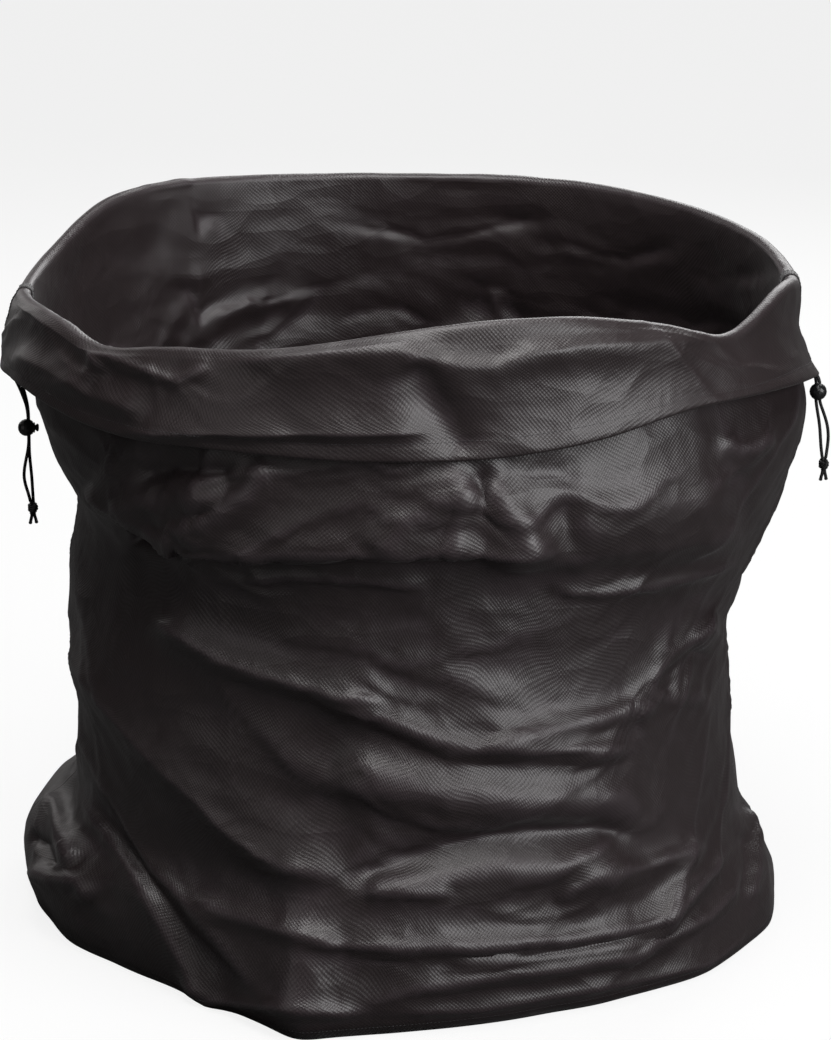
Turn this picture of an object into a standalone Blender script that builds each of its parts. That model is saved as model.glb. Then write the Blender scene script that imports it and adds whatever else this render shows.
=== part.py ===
# Garden sack of woven cloth: two wall panels and a round base, a turned-down cuff whose hem
# holds a drawcord, and a ball cord lock and knot on the cord's two loops. Metres, +Z up.
# The sack stands on z = 0 with its middle at x = 0, y = 0. Its front faces -Y.

import math

import bmesh
import bpy
from mathutils import Matrix, Vector

# Cloth, tape and cord
cloth_thickness = 0.0008
tape_thickness = 0.0008
tape_width = 0.020
cord_diameter = 0.0032
seat_gap = 0.0003

# Sack
base_radius = 0.380
crest_height = 0.655
cuff_drop = 0.095
crest_roll_radius = 0.007
tunnel_height = 0.014
foot_height = 0.006
base_margin_height = 0.012
base_tape_overlap = 0.006
corner_tuck_share = 0.05
corner_tuck_top_share = 0.30

# Right, back, left and front, as shares of crest_height, cuff_drop and base_radius
crest_height_shares = (0.950, 1.031, 0.934, 1.000)
cuff_drop_shares = (0.937, 1.158, 0.700, 1.000)
crest_radius_shares = (0.984, 0.974, 0.979, 0.966)
hem_radius_shares = (1.050, 1.026, 1.050, 1.026)

# The wall's outline: height as a share of the crest's, then radius as a share of base_radius
wall_height_shares = (
    0.000, 0.045, 0.095, 0.155, 0.180, 0.230, 0.300, 0.400,
    0.485, 0.570, 0.635, 0.685, 0.705, 0.755, 0.800, 0.870,
)
wall_radius_shares = (
    (  # right
        0.973, 0.975, 0.948, 0.890, 0.876, 0.860, 0.842, 0.843,
        0.826, 0.869, 0.924, 0.963, 0.965, 0.985, 0.997, 0.978,
    ),
    (  # back
        0.988, 0.999, 0.992, 0.972, 0.958, 0.950, 0.929, 0.921,
        0.912, 0.916, 0.931, 0.970, 0.998, 1.008, 0.990, 0.972,
    ),
    (  # left
        1.018, 1.027, 1.035, 0.999, 0.950, 0.907, 0.894, 0.900,
        0.896, 0.887, 0.868, 0.849, 0.857, 0.890, 0.921, 0.960,
    ),
    (  # front
        0.988, 0.998, 0.994, 0.988, 0.979, 0.969, 0.946, 0.941,
        0.925, 0.920, 0.920, 0.954, 1.018, 1.024, 1.004, 0.976,
    ),
)
# The foot's own outline: turn as a share of a full one, then rise as a share of base_radius
foot_turn_shares = (
    0.000, 0.100, 0.250, 0.271, 0.300, 0.320, 0.360, 0.400, 0.438, 0.470, 0.500, 0.550, 0.583,
    0.612, 0.640, 0.667, 0.688, 0.709, 0.729, 0.750, 0.790, 0.833, 0.880, 0.930, 1.000,
)
foot_rise_shares = (
    0.000, 0.005, -0.010, -0.020, 0.010, 0.018, 0.005, 0.015, 0.045, 0.025, 0.000, -0.018, -0.030,
    -0.046, -0.026, 0.005, 0.060, 0.100, 0.060, 0.005, -0.034, -0.010, 0.022, 0.012, 0.000,
)
foot_top_share = 0.30
# Main folds: turn and height where each starts and ends, its rise, and its reach up and down.
# Turns are shares of a full one, heights of crest_height and the others of base_radius.
main_fold_shares = (
    (0.780, 0.705, 0.910, 0.680, 0.026, 0.12, 0.06),
    (0.625, 0.550, 0.743, 0.480, 0.020, 0.08, 0.06),
    (0.700, 0.480, 0.864, 0.360, 0.026, 0.08, 0.06),
    (0.717, 0.385, 0.866, 0.290, 0.018, 0.07, 0.08),
    (0.600, 0.400, 0.724, 0.225, 0.026, 0.11, 0.06),
    (0.930, 0.510, 0.861, 0.425, 0.020, 0.10, 0.06),
    (0.710, 0.125, 0.940, 0.140, 0.018, 0.10, 0.05),
    (0.640, 0.790, 0.690, 0.810, 0.018, 0.07, 0.05),
    (0.776, 0.795, 0.779, 0.715, -0.020, 0.05, 0.05),
)
# The back has the front's folds mirrored, a little further round, lower and lighter
back_turn_share = 0.014
back_drop_share = 0.019
back_fold_share = 0.85
fold_fade_share = 0.35
narrowest_share = 0.826

# Cord lock: a ball with a stepped bore, a slotted plunger and a spring
plunger_side_wall = 0.0015
plunger_end_wall = 0.0011
plunger_outer_wall = 0.0012
plunger_running_gap = 0.0002
press_travel = 0.0030
lock_mouth_wall = 0.0022
lock_mouth_lip = 0.0008
pocket_step = 0.0012
pocket_depth = 0.0022
neck_radius = 0.0026
neck_length = 0.0015
button_radius = 0.0038
button_length = 0.0023
plunger_chamfer = 0.0004
slot_corner_radius = 0.0010
spring_wire_diameter = 0.00045
spring_turns = 3

# Knot
knot_half_width = 0.0050
knot_half_height = 0.0066
knot_wrap_depth_share = 0.14
knot_tail_length = 0.0100
knot_tail_spread = 0.0030

# Where each lock's ball sits, and the routes of the cord's free legs from hem to knot
left_lock_centre = (-0.3774, 0.0, 0.4816)
right_lock_centre = (0.4005, 0.0, 0.5180)
left_knot_centre = (-0.3735, 0.0, 0.4000)
right_knot_centre = (0.4085, 0.0019, 0.4440)
left_front_leg_route = (
    (-0.3966, -0.0099, 0.5476), (-0.3963, -0.0065, 0.5470), (-0.3952, -0.0038, 0.5452),
    (-0.3935, -0.0026, 0.5424), (-0.3913, -0.0022, 0.5388), (-0.3886, -0.0020, 0.5341),
    (-0.3856, -0.0019, 0.5281), (-0.3825, -0.0018, 0.5209), (-0.3796, -0.0018, 0.5130),
    (-0.3770, -0.00185, 0.5048), (-0.3758, -0.00175, 0.4968), (-0.3755, -0.00175, 0.4892),
    (-0.3755, -0.00175, 0.4816), (-0.3755, -0.00175, 0.4740), (-0.3757, -0.0018, 0.4664),
    (-0.3768, -0.0021, 0.4584), (-0.3786, -0.0023, 0.4500), (-0.3804, -0.0024, 0.4410),
    (-0.3811, -0.0023, 0.4325), (-0.3800, -0.0020, 0.4240), (-0.3777, -0.0018, 0.4155),
    (-0.3757, -0.00175, 0.4069),
)
left_back_leg_route = (
    (-0.3966, 0.0099, 0.5476), (-0.3960, 0.0066, 0.5471), (-0.3943, 0.0041, 0.5455),
    (-0.3918, 0.0030, 0.5431), (-0.3888, 0.0026, 0.5396), (-0.3858, 0.0024, 0.5350),
    (-0.3829, 0.0022, 0.5290), (-0.3802, 0.0020, 0.5218), (-0.3780, 0.0019, 0.5137),
    (-0.3764, 0.0018, 0.5053), (-0.3756, 0.00175, 0.4970), (-0.3755, 0.00175, 0.4892),
    (-0.3755, 0.00175, 0.4816), (-0.3755, 0.00175, 0.4740), (-0.3756, 0.0018, 0.4664),
    (-0.3757, 0.0021, 0.4584), (-0.3754, 0.0023, 0.4500), (-0.3748, 0.0024, 0.4410),
    (-0.3742, 0.0023, 0.4325), (-0.3738, 0.0020, 0.4240), (-0.3735, 0.0018, 0.4155),
    (-0.3732, 0.00175, 0.4069),
)
right_front_leg_route = (
    (0.3966, -0.0099, 0.5355), (0.3967, -0.0054, 0.5348), (0.3971, -0.0016, 0.5329),
    (0.3979, 0.0009, 0.5299), (0.3986, 0.0018, 0.5260), (0.39875, 0.0019, 0.5220),
    (0.39875, 0.0019, 0.5180), (0.39875, 0.0019, 0.5140), (0.39885, 0.0019, 0.5095),
    (0.3995, 0.0018, 0.5040), (0.4007, 0.0015, 0.4970), (0.4022, 0.0013, 0.4890),
    (0.4034, 0.0012, 0.4805), (0.4042, 0.0012, 0.4720), (0.4049, 0.0014, 0.4640),
    (0.4058, 0.0017, 0.4570), (0.40675, 0.0019, 0.4509),
)
right_back_leg_route = (
    (0.3966, 0.0099, 0.5355), (0.3975, 0.0069, 0.5351), (0.3992, 0.0045, 0.5335),
    (0.4009, 0.0029, 0.5305), (0.4020, 0.0021, 0.5263), (0.40225, 0.0019, 0.5220),
    (0.40225, 0.0019, 0.5180), (0.40225, 0.0019, 0.5140), (0.40245, 0.0019, 0.5095),
    (0.4038, 0.0020, 0.5040), (0.4064, 0.0023, 0.4970), (0.4092, 0.0026, 0.4890),
    (0.4113, 0.0028, 0.4805), (0.4121, 0.0028, 0.4720), (0.4118, 0.0026, 0.4640),
    (0.4110, 0.0022, 0.4570), (0.41025, 0.0019, 0.4509),
)

# Fineness of the meshes, in counts
wall_columns = 24
crest_steps = 5
cuff_rows = 3
hem_steps = 4
turned_steps = 16
ball_arc_steps = 7
spring_points_per_turn = 10
leg_points_per_gap = 1.0

# Worked out from the sizes above
cord_radius = cord_diameter / 2
hem_roll_radius = cord_radius + seat_gap + cloth_thickness / 2
tape_half_angle = tape_width / 2 / base_radius
seam_half_angle = seat_gap / 2 / (base_radius * narrowest_share)
tape_offset = cloth_thickness / 2 + seat_gap + tape_thickness / 2
margin_offset = cloth_thickness + seat_gap
base_tape_offset = margin_offset + tape_offset
base_tape_foot = margin_offset + tape_thickness / 2
base_tape_height = base_margin_height + base_tape_overlap
side_tape_foot = base_tape_height + seat_gap
cord_stack_offset = cord_radius + seat_gap / 2
slot_half_stack = cord_stack_offset + cord_radius + seat_gap
body_slot_length = cord_diameter + 2 * seat_gap
plunger_slot_length = body_slot_length + press_travel
plunger_radius = slot_half_stack + plunger_side_wall
bore_radius = plunger_radius + plunger_running_gap
pocket_radius = plunger_radius - pocket_step
bore_floor = -(plunger_end_wall + press_travel + seat_gap)
pocket_floor = bore_floor - pocket_depth
mouth_place = body_slot_length + lock_mouth_wall
ball_radius = math.hypot(mouth_place, bore_radius + lock_mouth_lip)
cut_overrun = ball_radius

main_collection = bpy.data.collections.new("garden_sack")
cutter_collection = bpy.data.collections.new("cutters")


def clear_scene():
    for thing in list(bpy.data.objects):
        bpy.data.objects.remove(thing, do_unlink=True)
    for collection in (main_collection, cutter_collection):
        bpy.context.scene.collection.children.link(collection)


def make_material(name, colour, roughness, metallic=0.0):
    material = bpy.data.materials.new(name)
    material.use_nodes = True
    shader = material.node_tree.nodes["Principled BSDF"]
    shader.inputs["Base Color"].default_value = (*colour, 1.0)
    shader.inputs["Roughness"].default_value = roughness
    shader.inputs["Metallic"].default_value = metallic
    return material


def add_object(name, data, material, collection=None):
    thing = bpy.data.objects.new(name, data)
    if material:
        data.materials.append(material)
    (collection or main_collection).objects.link(thing)
    return thing


def interpolate(shares, values, share):
    for index in range(1, len(shares)):
        if share <= shares[index]:
            part = (share - shares[index - 1]) / (shares[index] - shares[index - 1])
            return values[index - 1] + part * (values[index] - values[index - 1])
    return values[-1]


def around_radius(angle, shares):
    """Radius at an angle, on four quarter ellipses whose half axes are the shares."""
    right, back, left, front = shares
    side = right if math.cos(angle) >= 0 else left
    depth = back if math.sin(angle) >= 0 else front
    return base_radius / math.hypot(math.cos(angle) / side, math.sin(angle) / depth)


def around_share(angle, shares):
    """A height's share at an angle, eased from one direction to the next."""
    right, back, left, front = shares
    side = right if math.cos(angle) >= 0 else left
    depth = back if math.sin(angle) >= 0 else front
    return side * math.cos(angle) ** 2 + depth * math.sin(angle) ** 2


def crest_top(angle):
    return crest_height * around_share(angle, crest_height_shares)


def segment_shape(x, y, fold):
    """How strongly a fold lifts the cloth at a place on the unrolled wall, from 0 to 1."""
    full = 2 * math.pi * base_radius
    start = Vector((fold[0] * full, fold[1] * crest_height))
    along = Vector((fold[2] * full, fold[3] * crest_height)) - start
    if along.x < 0:
        start, along = start + along, -along
    part = max(0.0, min(1.0, (Vector((x, y)) - start).dot(along) / along.length_squared))
    off = Vector((x, y)) - start - part * along
    reach = fold[5] if along.cross(off) > 0 else fold[6]
    return math.exp(-(off.length / (reach * base_radius)) ** 1.5)


def fold_rise(angle, share):
    """Outward rise of the main folds, as a share of base_radius, fading at the side seams."""
    turn = angle / (2 * math.pi) % 1.0
    scale = min(1.0, abs(math.sin(angle)) / fold_fade_share)
    if math.sin(angle) > 0:
        turn = 1.0 - turn - back_turn_share
        share -= back_drop_share
        scale *= back_fold_share
    x = turn * 2 * math.pi * base_radius
    y = share * crest_height
    return scale * sum(fold[4] * segment_shape(x, y, fold) for fold in main_fold_shares)


def foot_rise(angle, share):
    """Outward rise of the foot's own outline, as a share of base_radius."""
    turn = angle / (2 * math.pi) % 1.0
    fade = max(0.0, 1.0 - share / foot_top_share)
    return fade * interpolate(foot_turn_shares, foot_rise_shares, turn)


def wall_radius(angle, height):
    share = 0.0 if height <= foot_height else height / crest_top(angle)
    shares = [interpolate(wall_height_shares, values, share) for values in wall_radius_shares]
    fade = max(0.0, 1.0 - share / corner_tuck_top_share)
    tuck = corner_tuck_share * fade * math.sin(2 * angle) ** 2
    rise = fold_rise(angle, share) + foot_rise(angle, share)
    return around_radius(angle, shares) * (1.0 - tuck) + base_radius * rise


def hem_centre(angle):
    """Middle of the hem's tunnel, where the drawcord lies."""
    drop = cuff_drop * around_share(angle, cuff_drop_shares)
    height = crest_top(angle) - drop + hem_roll_radius
    return around_radius(angle, hem_radius_shares) - hem_roll_radius, height


def wall_points(angle):
    low = (0.0, foot_height, base_margin_height, base_tape_height, side_tape_foot)
    high = [share * crest_top(angle) for share in wall_height_shares[1:]]
    return [(wall_radius(angle, height), height) for height in (*low, *high)]


def crest_points(angle):
    middle = around_radius(angle, crest_radius_shares)
    centre = crest_top(angle) - crest_roll_radius
    turns = [math.pi * (1 - step / crest_steps) for step in range(crest_steps + 1)]
    return [
        (middle + crest_roll_radius * math.cos(turn), centre + crest_roll_radius * math.sin(turn))
        for turn in turns
    ]


def cuff_line(angle, height):
    """Radius of the cuff's straight fall at a height."""
    top_radius, top_height = crest_points(angle)[-1]
    hem_radius, hem_height = hem_centre(angle)
    part = (top_height - height) / (top_height - hem_height)
    return top_radius + part * (hem_radius + hem_roll_radius - top_radius)


def cuff_points(angle):
    """From below the crest down to the stitch line, the last row above the tunnel."""
    top = crest_points(angle)[-1][1]
    stitch = hem_centre(angle)[1] + tunnel_height
    heights = [top + (stitch - top) * (row + 1) / cuff_rows for row in range(cuff_rows)]
    return [(cuff_line(angle, height), height) for height in heights]


def hem_points(angle):
    """Round the drawcord and up again on the inner side, to the stitch line."""
    radius, height = hem_centre(angle)
    turns = [-math.pi * step / hem_steps for step in range(hem_steps + 1)]
    loop = [
        (radius + hem_roll_radius * math.cos(turn), height + hem_roll_radius * math.sin(turn))
        for turn in turns
    ]
    top = height + tunnel_height
    return [*loop, (cuff_line(angle, top) - margin_offset, top)]


def to_stitch_line(angle):
    return [*wall_points(angle), *crest_points(angle), *cuff_points(angle)]


def set_off(points, distance):
    """The outline moved sideways, towards the cloth's inner face, with its corners mitred."""
    moved = []
    for index, point in enumerate(points):
        here = Vector(point)
        before = (here - Vector(points[index - 1])).normalized() if index else None
        after = (Vector(points[index + 1]) - here).normalized() if index + 1 < len(points) else None
        before, after = before or after, after or before
        along = (before + after).normalized()
        reach = distance / along.dot(after)
        moved.append((here.x - reach * along.y, here.y + reach * along.x))
    return moved


def turned_out(angle, points):
    return [Vector((r * math.cos(angle), r * math.sin(angle), z)) for r, z in points]


def loft(name, columns, material, thickness, is_ring=False, left_out=None, has_centre=False):
    """A sheet through columns of points, given its thickness on both sides of them."""
    grid = bmesh.new()
    rows = [[grid.verts.new(point) for point in column] for column in columns]
    pairs = list(zip(rows, rows[1:] + ([rows[0]] if is_ring else [])))
    for number, (this, following) in enumerate(pairs):
        for row in range(len(this) - 1):
            if left_out and left_out(number, row):
                continue
            grid.faces.new((this[row], following[row], following[row + 1], this[row + 1]))
    if has_centre:
        middle = grid.verts.new((0.0, 0.0, columns[0][0].z))
        for this, following in pairs:
            grid.faces.new((middle, following[0], this[0]))
    loose = [vertex for vertex in grid.verts if not vertex.link_faces]
    bmesh.ops.delete(grid, geom=loose, context="VERTS")
    bmesh.ops.recalc_face_normals(grid, faces=grid.faces)
    mesh = bpy.data.meshes.new(name)
    grid.to_mesh(mesh)
    grid.free()
    sheet = add_object(name, mesh, material)
    solidify = sheet.modifiers.new("thickness", "SOLIDIFY")
    solidify.thickness = thickness
    solidify.offset = 0.0
    solidify.use_even_offset = True
    return sheet


def panel_angles(start):
    """Half a turn of columns, with one at each tape's edge and one at each seam."""
    first = start + tape_half_angle
    span = math.pi - 2 * tape_half_angle
    inner = [first + span * step / wall_columns for step in range(wall_columns + 1)]
    return [start + seam_half_angle, *inner, start + math.pi - seam_half_angle]


def make_wall_panel(name, start, material):
    angles = panel_angles(start)
    columns = [
        turned_out(angle, [*to_stitch_line(angle), *hem_points(angle)]) for angle in angles
    ]
    tunnel_row = len(to_stitch_line(angles[0])) - 1
    last = len(angles) - 2

    def beside_seam(column, row):
        return column in (0, last) and row >= tunnel_row

    return loft(name, columns, material, cloth_thickness, left_out=beside_seam)


def ring_angles():
    return [
        angle for start in (0.0, math.pi) for angle in (start, *panel_angles(start)[1:-1])
    ]


def make_base_panel(material):
    columns = []
    for angle in ring_angles():
        margin = set_off([p for p in wall_points(angle) if p[1] <= base_margin_height], margin_offset)
        corner = margin[0][0]
        floor = [(corner / 2, cloth_thickness / 2), (corner, cloth_thickness / 2)]
        columns.append(turned_out(angle, [*floor, *margin[1:]]))
    return loft("base_panel", columns, material, cloth_thickness, is_ring=True, has_centre=True)


def make_base_seam_tape(material):
    columns = []
    for angle in ring_angles():
        inner = set_off([p for p in wall_points(angle) if p[1] <= base_tape_height], base_tape_offset)
        foot = (inner[0][0], base_tape_foot)
        columns.append(turned_out(angle, [foot, *inner[1:]]))
    return loft("base_seam_tape", columns, material, tape_thickness, is_ring=True)


def make_side_seam_tape(name, seam_angle, material):
    columns = []
    for angle in (seam_angle - tape_half_angle, seam_angle, seam_angle + tape_half_angle):
        sewn = [p for p in wall_points(angle) if p[1] >= side_tape_foot]
        outline = [*sewn, *crest_points(angle), *cuff_points(angle)]
        columns.append(turned_out(angle, set_off(outline, tape_offset)))
    return loft(name, columns, material, tape_thickness)


def make_tube(name, points, material, radius, resolution=2):
    curve = bpy.data.curves.new(name, "CURVE")
    curve.dimensions = "3D"
    curve.bevel_depth = radius
    curve.bevel_resolution = resolution
    curve.use_fill_caps = True
    spline = curve.splines.new("POLY")
    spline.points.add(len(points) - 1)
    for place, point in zip(spline.points, points):
        place.co = (*point, 1.0)
    return add_object(name, curve, material)


def make_drawcord(name, start, material):
    """The part of the cord that the hem holds, from one tunnel mouth to the other."""
    points = [turned_out(angle, [hem_centre(angle)])[0] for angle in panel_angles(start)[1:-1]]
    return make_tube(name, points, material, cord_radius)


def smooth_route(route, per_gap):
    """Points on the smooth curve through a route, closer together than the route's own."""
    places = [Vector(point) for point in route]
    before = 3 * (places[0] - places[1]) + places[2]
    after = 3 * (places[-1] - places[-2]) + places[-3]
    ends = [before, *places, after]
    count = int(per_gap * (len(places) - 1))
    points = []
    for step in range(count + 1):
        at = step * (len(places) - 1) / count
        index = min(int(at), len(places) - 2)
        part = at - index
        a, b, c, d = ends[index:index + 4]
        bend = (c - a) * part + (2 * a - 5 * b + 4 * c - d) * part ** 2
        points.append(b + (bend + (3 * (b - c) + d - a) * part ** 3) / 2)
    return points


def make_leg(name, route, material):
    return make_tube(name, smooth_route(route, leg_points_per_gap), material, cord_radius)


def hide_cutter(cutter):
    cutter.hide_render = True
    cutter.display_type = "WIRE"


def add_boolean(target, cutter, operation):
    boolean = target.modifiers.new(cutter.name, "BOOLEAN")
    boolean.operation = operation
    boolean.object = cutter
    boolean.solver = "EXACT"


def lock_frame(plunger_way, centre):
    """The lock's own frame: Z is the plunger's way out, Y is up along the cords."""
    up = Vector((0.0, 0.0, 1.0))
    out = Vector(plunger_way)
    turn = Matrix((up.cross(out), up, out)).transposed()
    return Matrix.Translation(centre) @ turn.to_4x4()


def make_turned(name, profile, material, frame):
    """A solid turned about its own Z from a profile of (radius, height), top to bottom."""
    mesh = bpy.data.meshes.new(name)
    edges = [(index, index + 1) for index in range(len(profile) - 1)]
    mesh.from_pydata([(radius, 0.0, height) for radius, height in profile], edges, [])
    thing = add_object(name, mesh, material)
    thing.matrix_world = frame
    screw = thing.modifiers.new("turn", "SCREW")
    screw.steps = turned_steps
    screw.render_steps = turned_steps
    screw.use_merge_vertices = True
    screw.merge_threshold = seat_gap / 10
    screw.use_normal_calculate = True
    return thing


def make_slot_cutter(name, length, frame):
    """A box across the ball for the two cords, its long corners rounded."""
    box = bmesh.new()
    bmesh.ops.create_cube(box, size=1.0)
    size = (2 * slot_half_stack, 2 * cut_overrun, length)
    bmesh.ops.scale(box, vec=size, verts=box.verts)
    bmesh.ops.translate(box, vec=(0.0, 0.0, length / 2), verts=box.verts)
    along = [edge for edge in box.edges if abs(edge.verts[0].co.y - edge.verts[1].co.y) > cut_overrun]
    bmesh.ops.bevel(
        box, geom=along, offset=slot_corner_radius, segments=2, profile=0.5, affect="EDGES"
    )
    mesh = bpy.data.meshes.new(name)
    box.to_mesh(mesh)
    box.free()
    cutter = add_object(name, mesh, None, cutter_collection)
    cutter.matrix_world = frame
    hide_cutter(cutter)
    return cutter


def make_lock_body(name, frame, material):
    rim = math.asin((bore_radius + lock_mouth_lip) / ball_radius)
    turns = [rim + (math.pi - rim) * step / ball_arc_steps for step in range(ball_arc_steps)]
    arc = [(ball_radius * math.sin(turn), ball_radius * math.cos(turn)) for turn in turns]
    profile = [
        (0.0, pocket_floor), (pocket_radius, pocket_floor), (pocket_radius, bore_floor),
        (bore_radius, bore_floor), (bore_radius, mouth_place), *arc, (0.0, -ball_radius),
    ]
    body = make_turned(name, profile, material, frame)
    add_boolean(body, make_slot_cutter(name + "_slot", body_slot_length, frame), "DIFFERENCE")
    return body


def make_lock_plunger(name, frame, material):
    barrel_end = plunger_slot_length + plunger_outer_wall
    neck_end = barrel_end + neck_length
    top = neck_end + button_length
    edge = plunger_chamfer
    profile = [
        (0.0, top), (button_radius - 2 * edge, top), (button_radius, top - 2 * edge),
        (button_radius, neck_end + edge), (neck_radius, neck_end - edge), (neck_radius, barrel_end),
        (plunger_radius - edge, barrel_end), (plunger_radius, barrel_end - edge),
        (plunger_radius, edge - plunger_end_wall), (plunger_radius - edge, -plunger_end_wall),
        (0.0, -plunger_end_wall),
    ]
    plunger = make_turned(name, profile, material, frame)
    add_boolean(plunger, make_slot_cutter(name + "_slot", plunger_slot_length, frame), "DIFFERENCE")
    return plunger


def make_lock_spring(name, frame, material):
    wire = spring_wire_diameter / 2
    low = pocket_floor + seat_gap + wire
    high = -plunger_end_wall - seat_gap - wire
    around = pocket_radius - seat_gap - wire
    count = spring_turns * spring_points_per_turn
    points = []
    for step in range(count + 1):
        turn = 2 * math.pi * step / spring_points_per_turn
        height = low + (high - low) * step / count
        points.append(Vector((around * math.cos(turn), around * math.sin(turn), height)))
    spring = make_tube(name, points, material, wire, resolution=1)
    spring.matrix_world = frame
    return spring


def make_knot(name, centre, material):
    """The two legs' knot, drawn tight, with the cut ends below it."""
    ball = bmesh.new()
    bmesh.ops.create_uvsphere(ball, u_segments=18, v_segments=10, radius=1.0)
    for vertex in ball.verts:
        around = math.atan2(vertex.co.y, vertex.co.x)
        wrap = math.cos(3 * around + math.pi * vertex.co.z) * (1 - vertex.co.z ** 2)
        swell = 1.0 + knot_wrap_depth_share * wrap
        vertex.co.x *= knot_half_width * swell
        vertex.co.y *= knot_half_width * swell
        vertex.co.z *= knot_half_height
    mesh = bpy.data.meshes.new(name)
    ball.to_mesh(mesh)
    ball.free()
    knot = add_object(name, mesh, material)
    knot.location = centre
    for number, side in enumerate((-1, 1)):
        tail = bmesh.new()
        length = knot_half_height + knot_tail_length
        bmesh.ops.create_cone(
            tail, cap_ends=True, segments=10, radius1=cord_radius, radius2=cord_radius, depth=length
        )
        bmesh.ops.translate(tail, vec=(0.0, 0.0, -length / 2), verts=tail.verts)
        mesh = bpy.data.meshes.new(f"{name}_tail_{number}")
        tail.to_mesh(mesh)
        tail.free()
        piece = add_object(mesh.name, mesh, None, cutter_collection)
        lean = math.atan2(knot_tail_spread, length)
        shift = Vector((side * cord_stack_offset * math.cos(lean), 0.0, 0.0))
        piece.matrix_world = (
            Matrix.Translation(Vector(centre) + shift) @ Matrix.Rotation(-side * lean, 4, "Y")
        )
        hide_cutter(piece)
        add_boolean(knot, piece, "UNION")
    return knot


def make_side(side, plunger_way, lock_centre, knot_centre, routes, materials):
    """One side's free legs, knot and cord lock."""
    frame = lock_frame(plunger_way, lock_centre)
    make_leg(f"{side}_front_leg", routes[0], materials["cord"])
    make_leg(f"{side}_back_leg", routes[1], materials["cord"])
    make_knot(f"{side}_knot", knot_centre, materials["cord"])
    make_lock_body(f"{side}_lock_body", frame, materials["lock"])
    make_lock_plunger(f"{side}_lock_plunger", frame, materials["lock"])
    make_lock_spring(f"{side}_lock_spring", frame, materials["spring"])


def shade_round(collection):
    for thing in collection.objects:
        if thing.type == "MESH":
            thing.data.shade_smooth()
            thing.data.set_sharp_from_angle(angle=math.radians(40))


def build():
    clear_scene()
    materials = {
        "cloth": make_material("sack_cloth", (0.022, 0.019, 0.020), 0.55),
        "tape": make_material("seam_tape", (0.016, 0.015, 0.016), 0.80),
        "cord": make_material("drawcord", (0.013, 0.013, 0.014), 0.70),
        "lock": make_material("lock_plastic", (0.012, 0.012, 0.013), 0.40),
        "spring": make_material("spring_steel", (0.56, 0.57, 0.58), 0.30, 1.0),
    }
    make_wall_panel("front_panel", math.pi, materials["cloth"])
    make_wall_panel("back_panel", 0.0, materials["cloth"])
    make_base_panel(materials["cloth"])
    make_base_seam_tape(materials["tape"])
    make_side_seam_tape("right_seam_tape", 0.0, materials["tape"])
    make_side_seam_tape("left_seam_tape", math.pi, materials["tape"])
    make_drawcord("front_drawcord", math.pi, materials["cord"])
    make_drawcord("back_drawcord", 0.0, materials["cord"])
    left_routes = (left_front_leg_route, left_back_leg_route)
    right_routes = (right_front_leg_route, right_back_leg_route)
    make_side("left", (1, 0, 0), left_lock_centre, left_knot_centre, left_routes, materials)
    make_side("right", (0, 1, 0), right_lock_centre, right_knot_centre, right_routes, materials)
    shade_round(main_collection)


build()
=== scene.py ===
# Cloth garden sack with a turned-down cuff, a drawcord in its hem and two cord locks.
# Metres, +Z up, front faces -Y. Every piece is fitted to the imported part.
import math
from contextlib import contextmanager

import bmesh
import bpy
import numpy as np
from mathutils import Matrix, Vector, noise


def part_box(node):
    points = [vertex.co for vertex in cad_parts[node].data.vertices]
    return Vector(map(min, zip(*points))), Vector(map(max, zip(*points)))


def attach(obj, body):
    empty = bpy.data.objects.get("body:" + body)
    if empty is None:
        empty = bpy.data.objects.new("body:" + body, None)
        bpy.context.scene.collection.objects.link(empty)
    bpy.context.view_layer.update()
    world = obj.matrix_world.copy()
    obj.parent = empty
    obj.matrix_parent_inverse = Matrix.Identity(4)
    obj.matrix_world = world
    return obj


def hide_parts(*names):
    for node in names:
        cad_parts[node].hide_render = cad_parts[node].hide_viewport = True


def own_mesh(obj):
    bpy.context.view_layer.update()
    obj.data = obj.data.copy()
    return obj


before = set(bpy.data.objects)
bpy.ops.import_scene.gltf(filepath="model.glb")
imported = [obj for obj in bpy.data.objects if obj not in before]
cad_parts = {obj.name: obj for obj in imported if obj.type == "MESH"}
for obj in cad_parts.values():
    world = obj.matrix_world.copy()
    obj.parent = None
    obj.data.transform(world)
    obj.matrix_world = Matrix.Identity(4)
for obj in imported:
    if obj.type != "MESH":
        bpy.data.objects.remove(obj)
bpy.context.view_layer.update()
scene = bpy.context.scene


@contextmanager
def opened(mesh):
    # a mesh as a bmesh, written back at the end
    shell = bmesh.new()
    shell.from_mesh(mesh)
    shell.verts.ensure_lookup_table()
    shell.faces.ensure_lookup_table()
    yield shell
    shell.to_mesh(mesh)
    shell.free()


def unit(ways):
    return ways / np.linalg.norm(ways, axis=-1, keepdims=True)


def level(ways):
    return unit(ways * (1.0, 1.0, 0.0))


def wrap(grid):
    return np.concatenate([grid, grid[:1]], 0)


def distances(path):
    # how far along a path each of its places is
    return np.concatenate([[0.0], np.cumsum(np.linalg.norm(np.diff(path, axis=0), axis=1))])


def meshObject(name, mesh, material):
    piece = bpy.data.objects.new(name, mesh)
    mesh.materials.append(material)
    scene.collection.objects.link(piece)
    return piece


def addPiece(name, mesh, material, node=None, body="sack"):
    # a piece on its body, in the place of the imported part's node if there is one
    piece = meshObject(name, mesh, material)
    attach(piece, body)
    if node:
        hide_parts(node)
    return piece


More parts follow.
